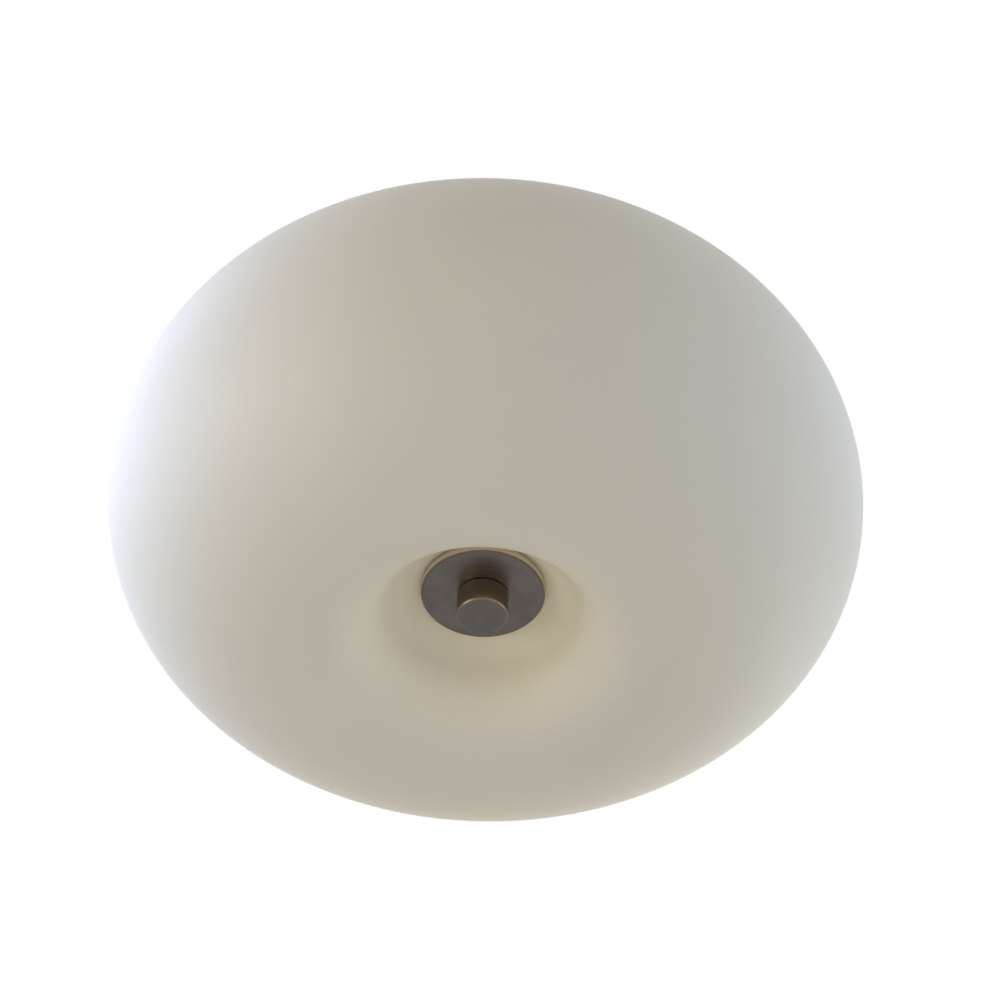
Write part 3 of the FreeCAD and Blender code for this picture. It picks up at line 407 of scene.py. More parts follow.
@dataclass(frozen=True)
class TurnedMetal(Finish):
    """Steel turned on a lathe and plated with satin nickel.

    Fine rings run round the turning axis and draw the highlight out across them. The plating is
    a little cloudy. The flank has a painted tone of its own: a browner painted reflection of the
    warm glass on the knob, or a pale painted reflection of the glass on the disc's edge.

    Attributes:
        flank: Painted reflection colour past the flank's radius.
        flank_radius: Radius past which the flank's colour starts.
        flank_blend: Distance over which one colour goes over into the other.
    """

    base: str = "#847E7E"
    other: str = "#7A7474"
    drift_mm: float = 14.0
    # Turning marks are some 0.1 mm apart, and are drawn coarser so that they show.
    grain_mm: float = 0.45
    grain_depth_mm: float = 0.012
    grain_detail: float = 2.0
    spread: tuple[float, float] = (0.05, 0.06)
    metallic: float = 1.0
    # Browner painted reflection of the warm glass, for the knob's flank.
    flank: str = "#9A8A72"
    flank_radius: float = 1.0
    flank_blend: float = 0.0004

    def tone(self, surface: Surface) -> bpy.types.NodeSocket:
        """Lay the cloudy plating and the flank's painted reflection.

        Args:
            surface: The material's nodes.

        Returns:
            The colour.
        """
        flank_end = self.flank_radius + self.flank_blend
        takes = {0: surface.axes()[0], 1: self.flank_radius, 2: flank_end}
        past = add_node(surface.tree, "MapRange", takes)
        takes = {0: past.outputs[0], 6: super().tone(surface), 7: linear_colour(self.flank)}
        return add_node(surface.tree, "Mix", takes, data_type="RGBA").outputs[2]

    def grain(self, surface: Surface) -> bpy.types.NodeSocket:
        """Make the rings of the turning tool.

        Args:
            surface: The material's nodes.

        Returns:
            The pattern.
        """
        radius, height = surface.axes()
        along = add_node(surface.tree, "CombineXYZ", {0: radius, 2: height})
        return super().grain(replace(surface, place=along.outputs[0]))


@dataclass(frozen=True)
class PlatedMetal(Finish):
    """Bare or plated metal of a small fitting.

    The marks of its making run one way, and the plating or the tarnish lies in soft clouds.

    Attributes:
        marks: Way that the marks run.
    """

    base: str = "#B4B6B8"
    other: str = "#97999D"
    drift_mm: float = 9.0
    grain_mm: float = 0.5
    grain_depth_mm: float = 0.01
    grain_detail: float = 3.0
    spread: tuple[float, float] = (0.07, 0.07)
    metallic: float = 1.0
    marks: Marks = Marks.EVEN

    def grain(self, surface: Surface) -> bpy.types.NodeSocket:
        """Make the marks of the making.

        Args:
            surface: The material's nodes.

        Returns:
            The pattern.
        """
        takes = {"Vector": surface.place, "Scale": self.marks.value}
        drawn = add_node(surface.tree, "Mapping", takes)
        return super().grain(replace(surface, place=drawn.outputs[0]))


@dataclass(frozen=True)
class PowderCoat(Finish):
    """White powder coat, sprayed dry on pressed sheet and baked.

    It is thin in patches. It has flowed into the shallow dimples of an orange peel, so its soft
    highlight is uneven, and a few specks of dust are baked in.

    Attributes:
        dust: The specks of dust.
    """

    base: str = "#DBDAD4"
    other: str = "#D0CFC8"
    drift_mm: float = 45.0
    drift_detail: float = 3.0
    drift_full: float = 0.7
    grain_mm: float = 1.6
    grain_depth_mm: float = 0.02
    spread: tuple[float, float] = (0.04, 0.05)
    dust: Specks = Specks("#9C9A92", 0.5, 28.0, (0.5, 1.2), 0.7)

    def tone(self, surface: Surface) -> bpy.types.NodeSocket:
        """Lay the thin patches and the dust.

        Args:
            surface: The material's nodes.

        Returns:
            The colour.
        """
        return self.dust.over(super().tone(surface), surface)


@dataclass(frozen=True)
class Moulding(Finish):
    """Plastic, rubber or pressed glass that took its skin from a mould.

    Its colour drifts slowly where the melt flowed, and its skin copies the fine grain of the
    mould. Thin or clear kinds let light in.

    Attributes:
        scatter: Share of the light that goes under the skin.
        scatter_mm: Distance that this light travels.
        clearness: Share of the light that goes through.
    """

    base: str = "#DAD8D0"
    other: str = "#CFCCC2"
    drift_mm: float = 22.0
    drift_detail: float = 2.0
    drift_bend: float = 0.6
    grain_mm: float = 0.6
    grain_depth_mm: float = 0.006
    grain_detail: float = 2.0
    spread: tuple[float, float] = (0.04, 0.04)
    scatter: float = 0.0
    scatter_mm: float = 1.0
    clearness: float = 0.0

    def dress(self, surface: Surface) -> None:
        """Lay the flow and the grain, and let light in.

        Args:
            surface: The material's nodes.
        """
        super().dress(surface)
        inputs = surface.shader.inputs
        inputs["Subsurface Weight"].default_value = self.scatter
        inputs["Subsurface Scale"].default_value = self.scatter_mm * MM
        inputs["Transmission Weight"].default_value = self.clearness


@dataclass(frozen=True)
class BoardResist(Finish):
    """White resist printed over a glass-cloth board.

    The cloth's weave shows through the resist as a fine square relief, in another tone. The
    grain's size is the distance from thread to thread.

    Attributes:
        unevenness: Distortion of the threads.
        band: Part of its unit in which a wave texture draws one band.
    """

    base: str = "#DEDDD6"
    other: str = "#D2D0C6"
    # The resist has no soft patches: its other tone follows the threads.
    drift_mm: float = 0.0
    # The threads lie 0.45 mm apart, and are drawn at twice that so that they show.
    grain_mm: float = 0.9
    grain_depth_mm: float = 0.01
    unevenness: float = 0.3
    band: float = 0.314

    def tone(self, surface: Surface) -> bpy.types.NodeSocket:
        """Lay the other tone over the threads.

        Args:
            surface: The material's nodes.

        Returns:
            The colour.
        """
        takes = {6: linear_colour(self.base), 7: linear_colour(self.other)}
        takes[0] = self.grain(surface)
        return add_node(surface.tree, "Mix", takes, data_type="RGBA").outputs[2]

    def grain(self, surface: Surface) -> bpy.types.NodeSocket:
        """Make the weave of the board's cloth.

        Args:
            surface: The material's nodes.

        Returns:
            The pattern.
        """
        takes = {"Vector": surface.place, "Scale": per_size(self.grain_mm) * self.band}
        takes["Distortion"] = self.unevenness
        warp, weft = (
            add_node(surface.tree, "TexWave", takes, bands_direction=way).outputs["Fac"]
            for way in ("Z", "DIAGONAL")
        )
        takes = {0: warp, 1: weft}
        return add_node(surface.tree, "Math", takes, operation="MULTIPLY").outputs[0]


@dataclass(frozen=True)
class LeadSheath(Finish):
    """PVC insulation, drawn over a stranded conductor.

    It is duller in patches. The strands show through as a faint unevenness, and the drawn skin
    has a soft gloss. A second colour runs along the sheath where the lead has one.

    Attributes:
        stripe: Colour of the stripe.
        stripe_half_mm: Half the stripe's width. Zero leaves it out.
    """

    base: str = "#5A3A27"
    other: str = "#4B3021"
    drift_mm: float = 6.0
    drift_detail: float = 3.0
    drift_full: float = 0.7
    grain_mm: float = 0.7
    grain_depth_mm: float = 0.02
    ior: float = 1.53
    stripe: str = "#D9C22E"
    stripe_half_mm: float = 0.0

    def tone(self, surface: Surface) -> bpy.types.NodeSocket:
        """Lay the dull patches and the stripe.

        Args:
            surface: The material's nodes.

        Returns:
            The colour.
        """
        tree = surface.tree
        parts = add_node(tree, "SeparateXYZ", {0: surface.place})
        aside = add_node(tree, "Math", {0: parts.outputs[0]}, operation="ABSOLUTE")
        takes = {0: aside.outputs[0], 1: self.stripe_half_mm * MM}
        striped = add_node(tree, "Math", takes, operation="LESS_THAN")
        takes = {0: striped.outputs[0], 6: super().tone(surface), 7: linear_colour(self.stripe)}
        return add_node(tree, "Mix", takes, data_type="RGBA").outputs[2]


# Each finish starts with its name, its roughness and, where they aren't its kind's own, its main
# colour and the colour that it drifts into.
FINISHES: dict[Slot, Finish] = {
    # Satin white glass: soft, with no mirror in it, and light that bleeds under its skin.
    Slot.OPAL_GLASS: OpalGlass("opal_glass_acid_etched", 0.55),
    # Dark satin metal: even, and it mirrors the knob above itself as a soft dark band.
    Slot.SATIN_NICKEL: TurnedMetal("steel_turned_satin_nickel", 0.30),
    # Bright nickel on drawn brass: a warm mirror with fine drawing marks.
    Slot.BRIGHT_NICKEL: PlatedMetal(
        "brass_drawn_bright_nickel", 0.17, "#CFC8BC", "#B9B1A3", drift_mm=12.0, grain_mm=0.4,
        grain_depth_mm=0.004, spread=(0.05, 0.05)
    ),
    # Zinc on rolled steel: bluish grey and cloudy, with faint lines along the sheet.
    Slot.ZINC_STEEL: PlatedMetal("steel_rolled_zinc_plated", 0.34, "#B7B9BA", marks=Marks.ALONG_X),
    # Powder-coated sheet: white, with the soft uneven sheen of an orange peel.
    Slot.WHITE_ENAMEL: PowderCoat("steel_pressed_powder_coated", 0.36),
    # Bare turned brass: yellow, a little tarnished, with tool marks.
    Slot.BRASS: PlatedMetal(
        "brass_turned_bare", 0.28, "#C8A660", "#A98746", drift_mm=5.0, grain_mm=0.35,
        grain_depth_mm=0.012
    ),
    # Tin over pressed copper: pale warm grey with darker thin places.
    Slot.TINNED_COPPER: PlatedMetal(
        "copper_pressed_tinned", 0.36, "#C9C5BC", "#B79F86", drift_mm=4.0, grain_mm=0.4
    ),
    # Soft solder: a dull grey drop with a crusted skin.
    Slot.SOLDER: PlatedMetal(
        "solder_set_drop", 0.46, "#ABACAD", "#86888B", drift_mm=2.5, grain_mm=1.2,
        grain_depth_mm=0.06
    ),
    # Silicone rubber: matt white, and light goes a little way in.
    Slot.WHITE_SILICONE: Moulding(
        "silicone_rubber_moulded", 0.62, "#D9D9D4", "#CFCEC8", ior=1.41, scatter=0.3,
        scatter_mm=1.5
    ),
    # Natural nylon: milky, with light in its edges.
    Slot.CLEAR_NYLON: Moulding(
        "nylon_natural_moulded", 0.32, "#E2DFD2", "#D8D3C2", ior=1.53, scatter=0.4, scatter_mm=2.0,
        clearness=0.25
    ),
    # Urea moulding: hard, white and glossy.
    Slot.WHITE_MOULDING: Moulding(
        "urea_compression_moulded", 0.24, "#DEDCD3", "#D5D2C7", ior=1.55, grain_mm=1.1,
        grain_depth_mm=0.01
    ),
    # Black pressed glass round the contact: deep gloss with a wavy skin.
    Slot.BLACK_GLASS: Moulding(
        "glass_black_pressed", 0.12, "#17171B", "#222228", ior=1.52, drift_mm=6.0, grain_mm=2.5,
        grain_depth_mm=0.03
    ),
    # Polyester of a lamp's housing: white with a fine eroded grain.
    Slot.LAMP_PLASTIC: Moulding(
        "polyester_housing_moulded", 0.42, "#DFDFDB", "#D7D6D1", ior=1.57, grain_mm=0.5,
        grain_depth_mm=0.02
    ),
    # Frosted polycarbonate: light passes and spreads in it.
    Slot.FROSTED_PLASTIC: Moulding(
        "polycarbonate_frosted", 0.5, "#E2E2DE", "#DCDBD5", ior=1.58, scatter=0.5, scatter_mm=3.0,
        clearness=0.2
    ),
    # Printed white resist: matt, over the weave of its cloth.
    Slot.WHITE_BOARD: BoardResist("board_white_resist", 0.5),
    # Brown PVC of the live leads.
    Slot.BROWN_INSULATION: LeadSheath("pvc_sheath_brown", 0.4),
    # Blue PVC of the neutral leads.
    Slot.BLUE_INSULATION: LeadSheath("pvc_sheath_blue", 0.4, "#2C62AE", "#255394"),
    # Green PVC with its yellow stripe, of the earth lead.
    Slot.GREEN_YELLOW_INSULATION: LeadSheath(
        "pvc_sheath_green_yellow", 0.4, "#3B8A3A", "#317832", stripe_half_mm=0.55
    ),
}

# The same plating, with the flank that fingers turn painted a browner tone, a painted reflection
# of the warm glass.
KNOB_NICKEL = TurnedMetal("steel_turned_satin_nickel_rubbed", 0.32, flank_radius=0.01405)
# The disc's edge is painted pale: a painted reflection of the glass round it, which shows as
# a pale line.
DISC_NICKEL = TurnedMetal(
    "steel_turned_satin_nickel_cut", 0.30, flank="#E0D7CB", flank_radius=0.0359
)


class ProfilePen:
    """Draws the outline of a turned piece in the XZ plane, point by point, inside a bmesh."""

    def __init__(self, radius: float, height: float) -> None:
        """Set the pen down.

        Args:
            radius: Radius of the first point.
            height: Height of the first point.
        """
        self.mesh = bmesh.new()
        self.tip = bmesh.ops.create_vert(self.mesh, co=(radius, 0.0, height))["vert"][0]
        self.start = self.tip

    def line_to(self, radius: float, height: float, steps: int = 1) -> None:
        """Draw a straight run.

        Args:
            radius: Radius of its end.
            height: Height of its end.
            steps: Number of parts that the run is divided into.
        """
        step = (Vector((radius, 0, height)) - self.tip.co) / steps
        for _ in range(steps):
            self.tip = bmesh.ops.extrude_vert_indiv(self.mesh, verts=[self.tip])["verts"][0]
            bmesh.ops.translate(self.mesh, vec=step, verts=[self.tip])

    def arc(
        self,
        centre: tuple[float, float],
        angle: float,
        steps: int,
        stretch: tuple[float, float] = (1.0, 1.0),
    ) -> None:
        """Draw an arc, or a stretched one, which is part of an ellipse.

        Args:
            centre: Radius and height of the arc's centre.
            angle: Angle of the arc in radians. A positive one turns from +X towards -Z.
            steps: Number of edges.
            stretch: Scale of the new points across and along the axis, about the centre.
        """
        middle = Vector((centre[0], 0, centre[1]))
        before = set(self.mesh.verts)
        made = bmesh.ops.spin(
            self.mesh, geom=[self.tip], cent=middle, axis=(0, 1, 0), angle=angle, steps=steps
        )
        self.tip = next(part for part in made["geom_last"] if isinstance(part, bmesh.types.BMVert))
        fresh = [vert for vert in self.mesh.verts if vert not in before]
        bmesh.ops.scale(
            self.mesh,
            vec=(stretch[0], 1.0, stretch[1]),
            space=Matrix.Translation(-middle),
            verts=fresh,
        )

    def lift_to(self, radius: float, height: float) -> None:
        """Start a separate run of the same outline at a radius and a height."""
        self.tip = bmesh.ops.create_vert(self.mesh, co=(radius, 0.0, height))["vert"][0]

    def join(self, first: bmesh.types.BMVert, second: bmesh.types.BMVert) -> None:
        """Join two points of the outline by a straight edge."""
        self.mesh.edges.new((first, second))

    def close(self) -> None:
        """Join the last point to the first one."""
        self.join(self.tip, self.start)

    def round_corners(self, radius: float, sharp: float = 0.35, steps: int = 3) -> None:
        """Round each corner of the outline that turns by more than an angle.

        Args:
            radius: Distance from the corner at which its rounding starts.
            sharp: Smallest turn, in radians, that counts as a corner.
            steps: Number of edges in each rounding.
        """
        corners = []
        for vert in self.mesh.verts:
            if len(vert.link_edges) == 2:
                one, other = (edge.other_vert(vert).co - vert.co for edge in vert.link_edges)
                if math.pi - one.angle(other) > sharp:
                    corners.append(vert)
        bmesh.ops.bevel(
            self.mesh,
            geom=corners,
            offset=radius,
            offset_type="OFFSET",
            segments=steps,
            profile=0.5,
            affect="VERTICES",
            clamp_overlap=True,
            material=-1,
        )

    def turned(self, steps: int) -> bmesh.types.BMesh:
        """Turn the outline round the Z axis.

        Args:
            steps: Number of faces round the axis.

        Returns:
            The turned bmesh.
        """
        bmesh.ops.spin(
            self.mesh,
            geom=self.mesh.verts[:] + self.mesh.edges[:],
            cent=ORIGIN,
            axis=UP,
            angle=FULL_TURN,
            steps=steps,
            use_merge=True,
        )
        return self.mesh

    def threaded(self, turns: int, pitch: float, steps: int) -> bmesh.types.BMesh:
        """Turn the outline of one ridge into a right-handed screw thread round the Z axis.

        Args:
            turns: Least number of turns.
            pitch: Rise of one turn, which is also the height of the outline.
            steps: Number of faces in a turn.

        Returns:
            The thread's skin, open at both ends.
        """
        bmesh.ops.spin(
            self.mesh,
            geom=self.mesh.verts[:] + self.mesh.edges[:],
            cent=ORIGIN,
            axis=UP,
            dvec=(0.0, 0.0, pitch / steps),
            angle=FULL_TURN,
            steps=steps,
        )
        made = 1
        while made < turns:
            copied = bmesh.ops.duplicate(
                self.mesh, geom=self.mesh.verts[:] + self.mesh.edges[:] + self.mesh.faces[:]
            )
            verts = [part for part in copied["geom"] if isinstance(part, bmesh.types.BMVert)]
            bmesh.ops.translate(self.mesh, vec=(0.0, 0.0, pitch * made), verts=verts)
            made *= 2
        bmesh.ops.remove_doubles(self.mesh, verts=self.mesh.verts, dist=pitch * THREAD_WELD)
        return self.mesh


@dataclass
class ScrewThread:
    """A screw thread that is cut off square and runs out into a plain skin at both ends.

    Attributes:
        root: Radius at the bottom of the thread.
        crest: Radius at its top.
        pitch: Rise of one turn.
        low: Height of its lower end.
        high: Height of its upper end.
        run_out: Height over which the thread fades at each end.
        ridge_steps: Number of edges over one ridge.
        steps: Number of faces in a turn.
    """

    root: float
    crest: float
    pitch: float
    low: float
    high: float
    run_out: float
    ridge_steps: int
    steps: int

    def skin(self) -> bmesh.types.BMesh:
        """Make the thread's skin.

        Returns:
            The skin, with both ends open and round, at the thread's root.
        """
        middle = (self.root + self.crest) / 2
        swing = (self.crest - self.root) / 2
        base = self.low - SPARE_TURNS * self.pitch
        pen = ProfilePen(self.root, base)
        for step in range(1, self.ridge_steps + 1):
            share = step / self.ridge_steps
            radius = middle - swing * math.cos(FULL_TURN * share)
            pen.line_to(radius, base + self.pitch * share)
        turns = math.ceil((self.high - self.low) / self.pitch) + 2 * SPARE_TURNS
        mesh = pen.threaded(turns, self.pitch, self.steps)
        for height, side in ((self.low, -1.0), (self.high, 1.0)):
            bmesh.ops.bisect_plane(
                mesh,
                geom=mesh.verts[:] + mesh.edges[:] + mesh.faces[:],
                dist=self.pitch * THREAD_ON_PLANE,
                plane_co=(0.0, 0.0, height),
                plane_no=(0.0, 0.0, side),
                clear_outer=True,
            )
        for vert in mesh.verts:
            from_end = min(vert.co.z - self.low, self.high - vert.co.z)
            kept = min(max(from_end / self.run_out, 0.0), 1.0)
            radius = vert.co.xy.length
            vert.co.xy *= (self.root + (radius - self.root) * kept) / radius
        return mesh

    def end_loop(self, mesh: bmesh.types.BMesh, height: float) -> list[bmesh.types.BMEdge]:
        """Find the open edges of the skin at one of its ends.

        Args:
            mesh: The skin.
            height: Height of that end.

        Returns:
            The edges.
        """
        return [
            edge
            for edge in mesh.edges
            if edge.is_boundary and all(abs(v.co.z - height) < ON_PLANE for v in edge.verts)
        ]


def carried_loop(
    mesh: bmesh.types.BMesh, loop: list[bmesh.types.BMEdge], widen: float, rise: float
) -> list[bmesh.types.BMEdge]:
    """Carry an open round edge of a turned skin to its next radius and height.

    Args:
        mesh: The skin.
        loop: The open edges.
        widen: Next radius over the present one.
        rise: Height to the next edge.

    Returns:
        The new open edges.
    """
    made = bmesh.ops.extrude_edge_only(mesh, edges=loop)["geom"]
    verts = [part for part in made if isinstance(part, bmesh.types.BMVert)]
    bmesh.ops.scale(mesh, vec=(widen, widen, 1.0), verts=verts)
    bmesh.ops.translate(mesh, vec=(0.0, 0.0, rise), verts=verts)
    fresh = set(verts)
    return [
        part
        for part in made
        if isinstance(part, bmesh.types.BMEdge) and all(v in fresh for v in part.verts)
    ]


def linked(name: str, data: bpy.types.ID) -> bpy.types.Object:
    """Make an object in the scene.

    Args:
        name: The object's name.
        data: Its mesh, curve, lamp or camera.

    Returns:
        The object.
    """
    made = bpy.data.objects.new(name, data)
    bpy.context.scene.collection.objects.link(made)
    return made


def meshed(name: str, mesh: bmesh.types.BMesh) -> bpy.types.Object:
    """Make an object in the scene out of a bmesh.

    Args:
        name: The object's name.
        mesh: The bmesh, which is freed.

    Returns:
        The object.
    """
    data = bpy.data.meshes.new(name)
    mesh.to_mesh(data)
    mesh.free()
    return linked(name, data)


def facing(place: tuple[float, float, float], aim: tuple[float, float, float]) -> Matrix:
    """Placing of a lamp or a camera that stands at a place and faces a point."""
    turn = (Vector(aim) - Vector(place)).to_track_quat("-Z", "Y")
    return Matrix.Translation(place) @ turn.to_matrix().to_4x4()


def finished_piece(
    mesh: bmesh.types.BMesh,
    name: str,
    slot: Slot,
    finish: Finish | None = None,
    place: Matrix = Matrix.Identity(4),
    hard_angle: float = 0.6,
) -> bpy.types.Object:
    """Make a piece from a finished bmesh, smooth with its hard edges kept.

    Args:
        mesh: The bmesh, which is freed.
        name: The piece's name.
        slot: The record's slot that the piece takes its finish from.
        finish: A finish of the piece's own in that slot.
        place: Where the mesh goes in the frame.
        hard_angle: Angle in radians past which an edge stays hard.

    Returns:
        The piece, with its object at the origin.
    """
    bmesh.ops.transform(mesh, matrix=place, verts=mesh.verts)
    bmesh.ops.remove_doubles(mesh, verts=mesh.verts, dist=WELD)
    bmesh.ops.recalc_face_normals(mesh, faces=mesh.faces)
    for face in mesh.faces:
        face.smooth = True
    for edge in mesh.edges:
        edge.smooth = not edge.is_manifold or edge.calc_face_angle(0.0) < hard_angle
    piece = meshed(name, mesh)
    piece.data.materials.append((finish or FINISHES[slot]).material())
    return piece


def dressed_node(name: str) -> bpy.types.Object:
    """Give a CAD node that keeps its shape the finish of its slot.

    Args:
        name: The node's name.

    Returns:
        The node's object.
    """
    part = next(part for part in frame["record"]["subparts"] if part["node"] == name)
    node = frame["nodes"][name]
    material = FINISHES[Slot(part["material_slot"])].material()
    for held in node.material_slots:
        held.material = material
    return node


@dataclass
class GlassShade:
    """The blown glass with the well in its middle.

    Attributes:
        radius: Radius at the widest ring.
        wall: Thickness of the glass.
        low_ring_radius: Radius of the lowest ring.
        low_ring_drop: Drop of the lowest ring below the widest one.
        upper_centre: Radius of the middle of the upper curve.
        upper_height: Height of the upper curve, if it closed over its middle.
        equator_drop: Drop of the widest ring.
        rim_drop: Drop of the ground rim.
        seat_radius: Radius of the flat seat.
        fillet: Radius between the seat and the well's wall.
        wall_run: Length of the well's straight wall.
        wall_slope: Angle between the well's wall and the seat, in radians.
        hole: Radius of the hole in the seat.
        ground_edge: Size of the rounding where the rim and the hole were ground.
        ground_corner: Smallest turn, in radians, of a corner that was ground.
        seat_steps: Number of edges along the seat.
        fillet_steps: Number of edges between the seat and the wall.
        wall_steps: Number of edges along the wall.
        shoulder_steps: Number of edges between the wall and the lowest ring.
        bowl_steps: Number of edges from there to the widest ring.
        upper_steps: Number of edges from there to the rim.
        steps: Number of faces round the axis.
    """

    radius: float = 0.2250
    wall: float = 0.0035
    low_ring_radius: float = 0.1090
    low_ring_drop: float = 0.1070
    upper_centre: float = 0.1305
    upper_height: float = 0.1010
    equator_drop: float = 0.1020
    rim_drop: float = 0.0100
    seat_radius: float = 0.0333
    fillet: float = 0.0232
    wall_run: float = 0.0045
    wall_slope: float = math.radians(67.9)
    hole: float = 0.0080
    ground_edge: float = 0.0007
    ground_corner: float = 0.9
    seat_steps: int = 4
    fillet_steps: int = 16
    wall_steps: int = 2
    shoulder_steps: int = 30
    bowl_steps: int = 60
    upper_steps: int = 44
    steps: int = 256

    def well_shoulder(self) -> float:
        """Radius between the well's wall and the lowest ring, which closes the outline."""
        run = self.wall_run * math.cos(self.wall_slope)
        width = self.low_ring_radius - self.seat_radius - run
        return width / math.sin(self.wall_slope) - self.fillet

    def seat_height(self) -> float:
        """Find the height of the seat's lower face.

        Returns:
            The height.
        """
        sine, cosine = math.sin(self.wall_slope), math.cos(self.wall_slope)
        rise = (self.fillet + self.well_shoulder()) * (1 - cosine) + self.wall_run * sine
        return rise - self.equator_drop - self.low_ring_drop

    def draw_skin(self, pen: ProfilePen, inset: float) -> bmesh.types.BMVert:
        """Draw one skin of the glass from the hole's edge, where the pen is, to the rim.

        Args:
            pen: The pen.
            inset: Distance of this skin inside the outer one.

        Returns:
            The skin's point at the rim.
        """
        sine, cosine = math.sin(self.wall_slope), math.cos(self.wall_slope)
        seat = self.seat_height()
        shoulder = self.well_shoulder() - inset
        shoulder_height = self.well_shoulder() - self.equator_drop - self.low_ring_drop
        bowl_width = self.radius - inset - self.low_ring_radius
        bowl_height = self.low_ring_drop - inset
        upper_width = self.radius - inset - self.upper_centre
        upper_height = self.upper_height - inset
        rim_angle = math.asin((self.equator_drop - self.rim_drop) / upper_height)
        pen.line_to(self.seat_radius, seat + inset, self.seat_steps)
        pen.arc((self.seat_radius, seat - self.fillet), self.wall_slope, self.fillet_steps)
        wall_end = (self.low_ring_radius - shoulder * sine, shoulder_height - shoulder * cosine)
        pen.line_to(*wall_end, self.wall_steps)
        ring = (self.low_ring_radius, shoulder_height)
        pen.arc(ring, -self.wall_slope, self.shoulder_steps)
        bowl = (self.low_ring_radius, -self.equator_drop)
        pen.arc(bowl, -math.pi / 2, self.bowl_steps, (bowl_width / bowl_height, 1.0))
        upper = (self.upper_centre, -self.equator_drop)
        pen.arc(upper, -rim_angle, self.upper_steps, (1.0, upper_height / upper_width))
        return pen.tip

    def build(self) -> list[bpy.types.Object]:
        """Turn the two skins, joined at the hole and the rim, and dress them.

        Returns:
            The shade, its bush and the gasket in its well.
        """
        seat = self.seat_height()
        pen = ProfilePen(self.hole, seat)
        outer_rim = self.draw_skin(pen, 0.0)
        pen.lift_to(self.hole, seat + self.wall)
        pen.join(pen.start, pen.tip)
        inner_rim = self.draw_skin(pen, self.wall)
        pen.join(outer_rim, inner_rim)
        pen.round_corners(self.ground_edge, self.ground_corner)
        shade = finished_piece(pen.turned(self.steps), "shade_glass", Slot.OPAL_GLASS)
        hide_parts("glass_shade")
        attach(shade, "shade")
        return [shade, dressed_node("glass_bush"), dressed_node("disc_gasket")]


@dataclass
class CoverDisc:
    """The turned disc in the bottom of the well.

    Attributes:
        radius: Outer radius.
        thickness: Thickness.
        chamfer: Size of the chamfer round the lower edge.
        bore: Radius of its hole.
        face_drop: Drop of the lower face.
        edge_round: Size of the rounding on each edge.
        face_steps: Number of edges along the lower face.
        steps: Number of faces round the axis.
    """

    radius: float = 0.0363
    thickness: float = 0.0053
    chamfer: float = 0.0013
    bore: float = 0.0054
    face_drop: float = 0.1618
    edge_round: float = 0.00018
    face_steps: int = 6
    steps: int = 192

    def build(self) -> list[bpy.types.Object]:
        """Turn and dress the disc.

        Returns:
            The disc.
        """
        low, high = -self.face_drop, self.thickness - self.face_drop
        pen = ProfilePen(self.bore, low)
        pen.line_to(self.radius - self.chamfer, low, self.face_steps)
        pen.line_to(self.radius, low + self.chamfer)
        pen.line_to(self.radius, high)
        pen.line_to(self.bore, high)
        pen.close()
        pen.round_corners(self.edge_round)
        turned = pen.turned(self.steps)
        disc = finished_piece(turned, "cover_disc_turned", Slot.SATIN_NICKEL, DISC_NICKEL)
        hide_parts("cover_disc")
        return [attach(disc, "shade")]


@dataclass
class ClampKnob:
    """The turned knob that clamps the shade, with its blind bore and washer recess.

    Attributes:
        radius: Outer radius.
        length: Distance of its end from the disc's face.
        chamfer: Size of the chamfer at its end.
        base_chamfer: Size of the chamfer at its base.
        base_gap: Gap to the disc's face.
        recess_radius: Radius of the recess for the washer.
        recess_depth: Depth of that recess from the disc's face.
        bore: Radius of the threaded bore.
        bore_depth: Depth of the bore from the disc's face.
        face_drop: Drop of the disc's face.
        groove_radius: Radius of the fine groove in its end.
        groove_width: Width of that groove.
        groove_depth: Depth of that groove.
        edge_round: Size of the rounding on each edge.
        flat_steps: Number of edges along its end and along its flank.
        steps: Number of faces round the axis.
    """

    radius: float = 0.0149
    length: float = 0.0169
    chamfer: float = 0.0008
    base_chamfer: float = 0.0004
    base_gap: float = 0.0002
    recess_radius: float = 0.0118
    recess_depth: float = 0.0010
    bore: float = 0.0051
    bore_depth: float = 0.0130
    face_drop: float = 0.1618
    groove_radius: float = 0.0121
    groove_width: float = 0.0005
    groove_depth: float = 0.00012
    edge_round: float = 0.00012
    flat_steps: int = 4
    steps: int = 160

    def build(self) -> list[bpy.types.Object]:
        """Turn and dress the knob.

        Returns:
            The knob and its washer.
        """
        base = -self.face_drop - self.base_gap
        recess = -self.face_drop - self.recess_depth
        end = -self.face_drop - self.length
        pen = ProfilePen(0.0, end)
        bore_end = -self.face_drop - self.bore_depth
        pen.line_to(self.groove_radius - self.groove_width / 2, end, self.flat_steps)
        pen.line_to(self.groove_radius, end + self.groove_depth)
        pen.line_to(self.groove_radius + self.groove_width / 2, end)
        pen.line_to(self.radius - self.chamfer, end)
        pen.line_to(self.radius, end + self.chamfer)
        pen.line_to(self.radius, base - self.base_chamfer, self.flat_steps)
        pen.line_to(self.radius - self.base_chamfer, base)
        pen.line_to(self.recess_radius, base)
        pen.line_to(self.recess_radius, recess)
        pen.line_to(self.bore, recess)
        pen.line_to(self.bore, bore_end)
        pen.line_to(0.0, bore_end)
        pen.round_corners(self.edge_round)
        turned = pen.turned(self.steps)
        knob = finished_piece(turned, "knob_turned", Slot.SATIN_NICKEL, KNOB_NICKEL)
        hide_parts("knob")
        return [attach(knob, "knob"), dressed_node("knob_washer")]


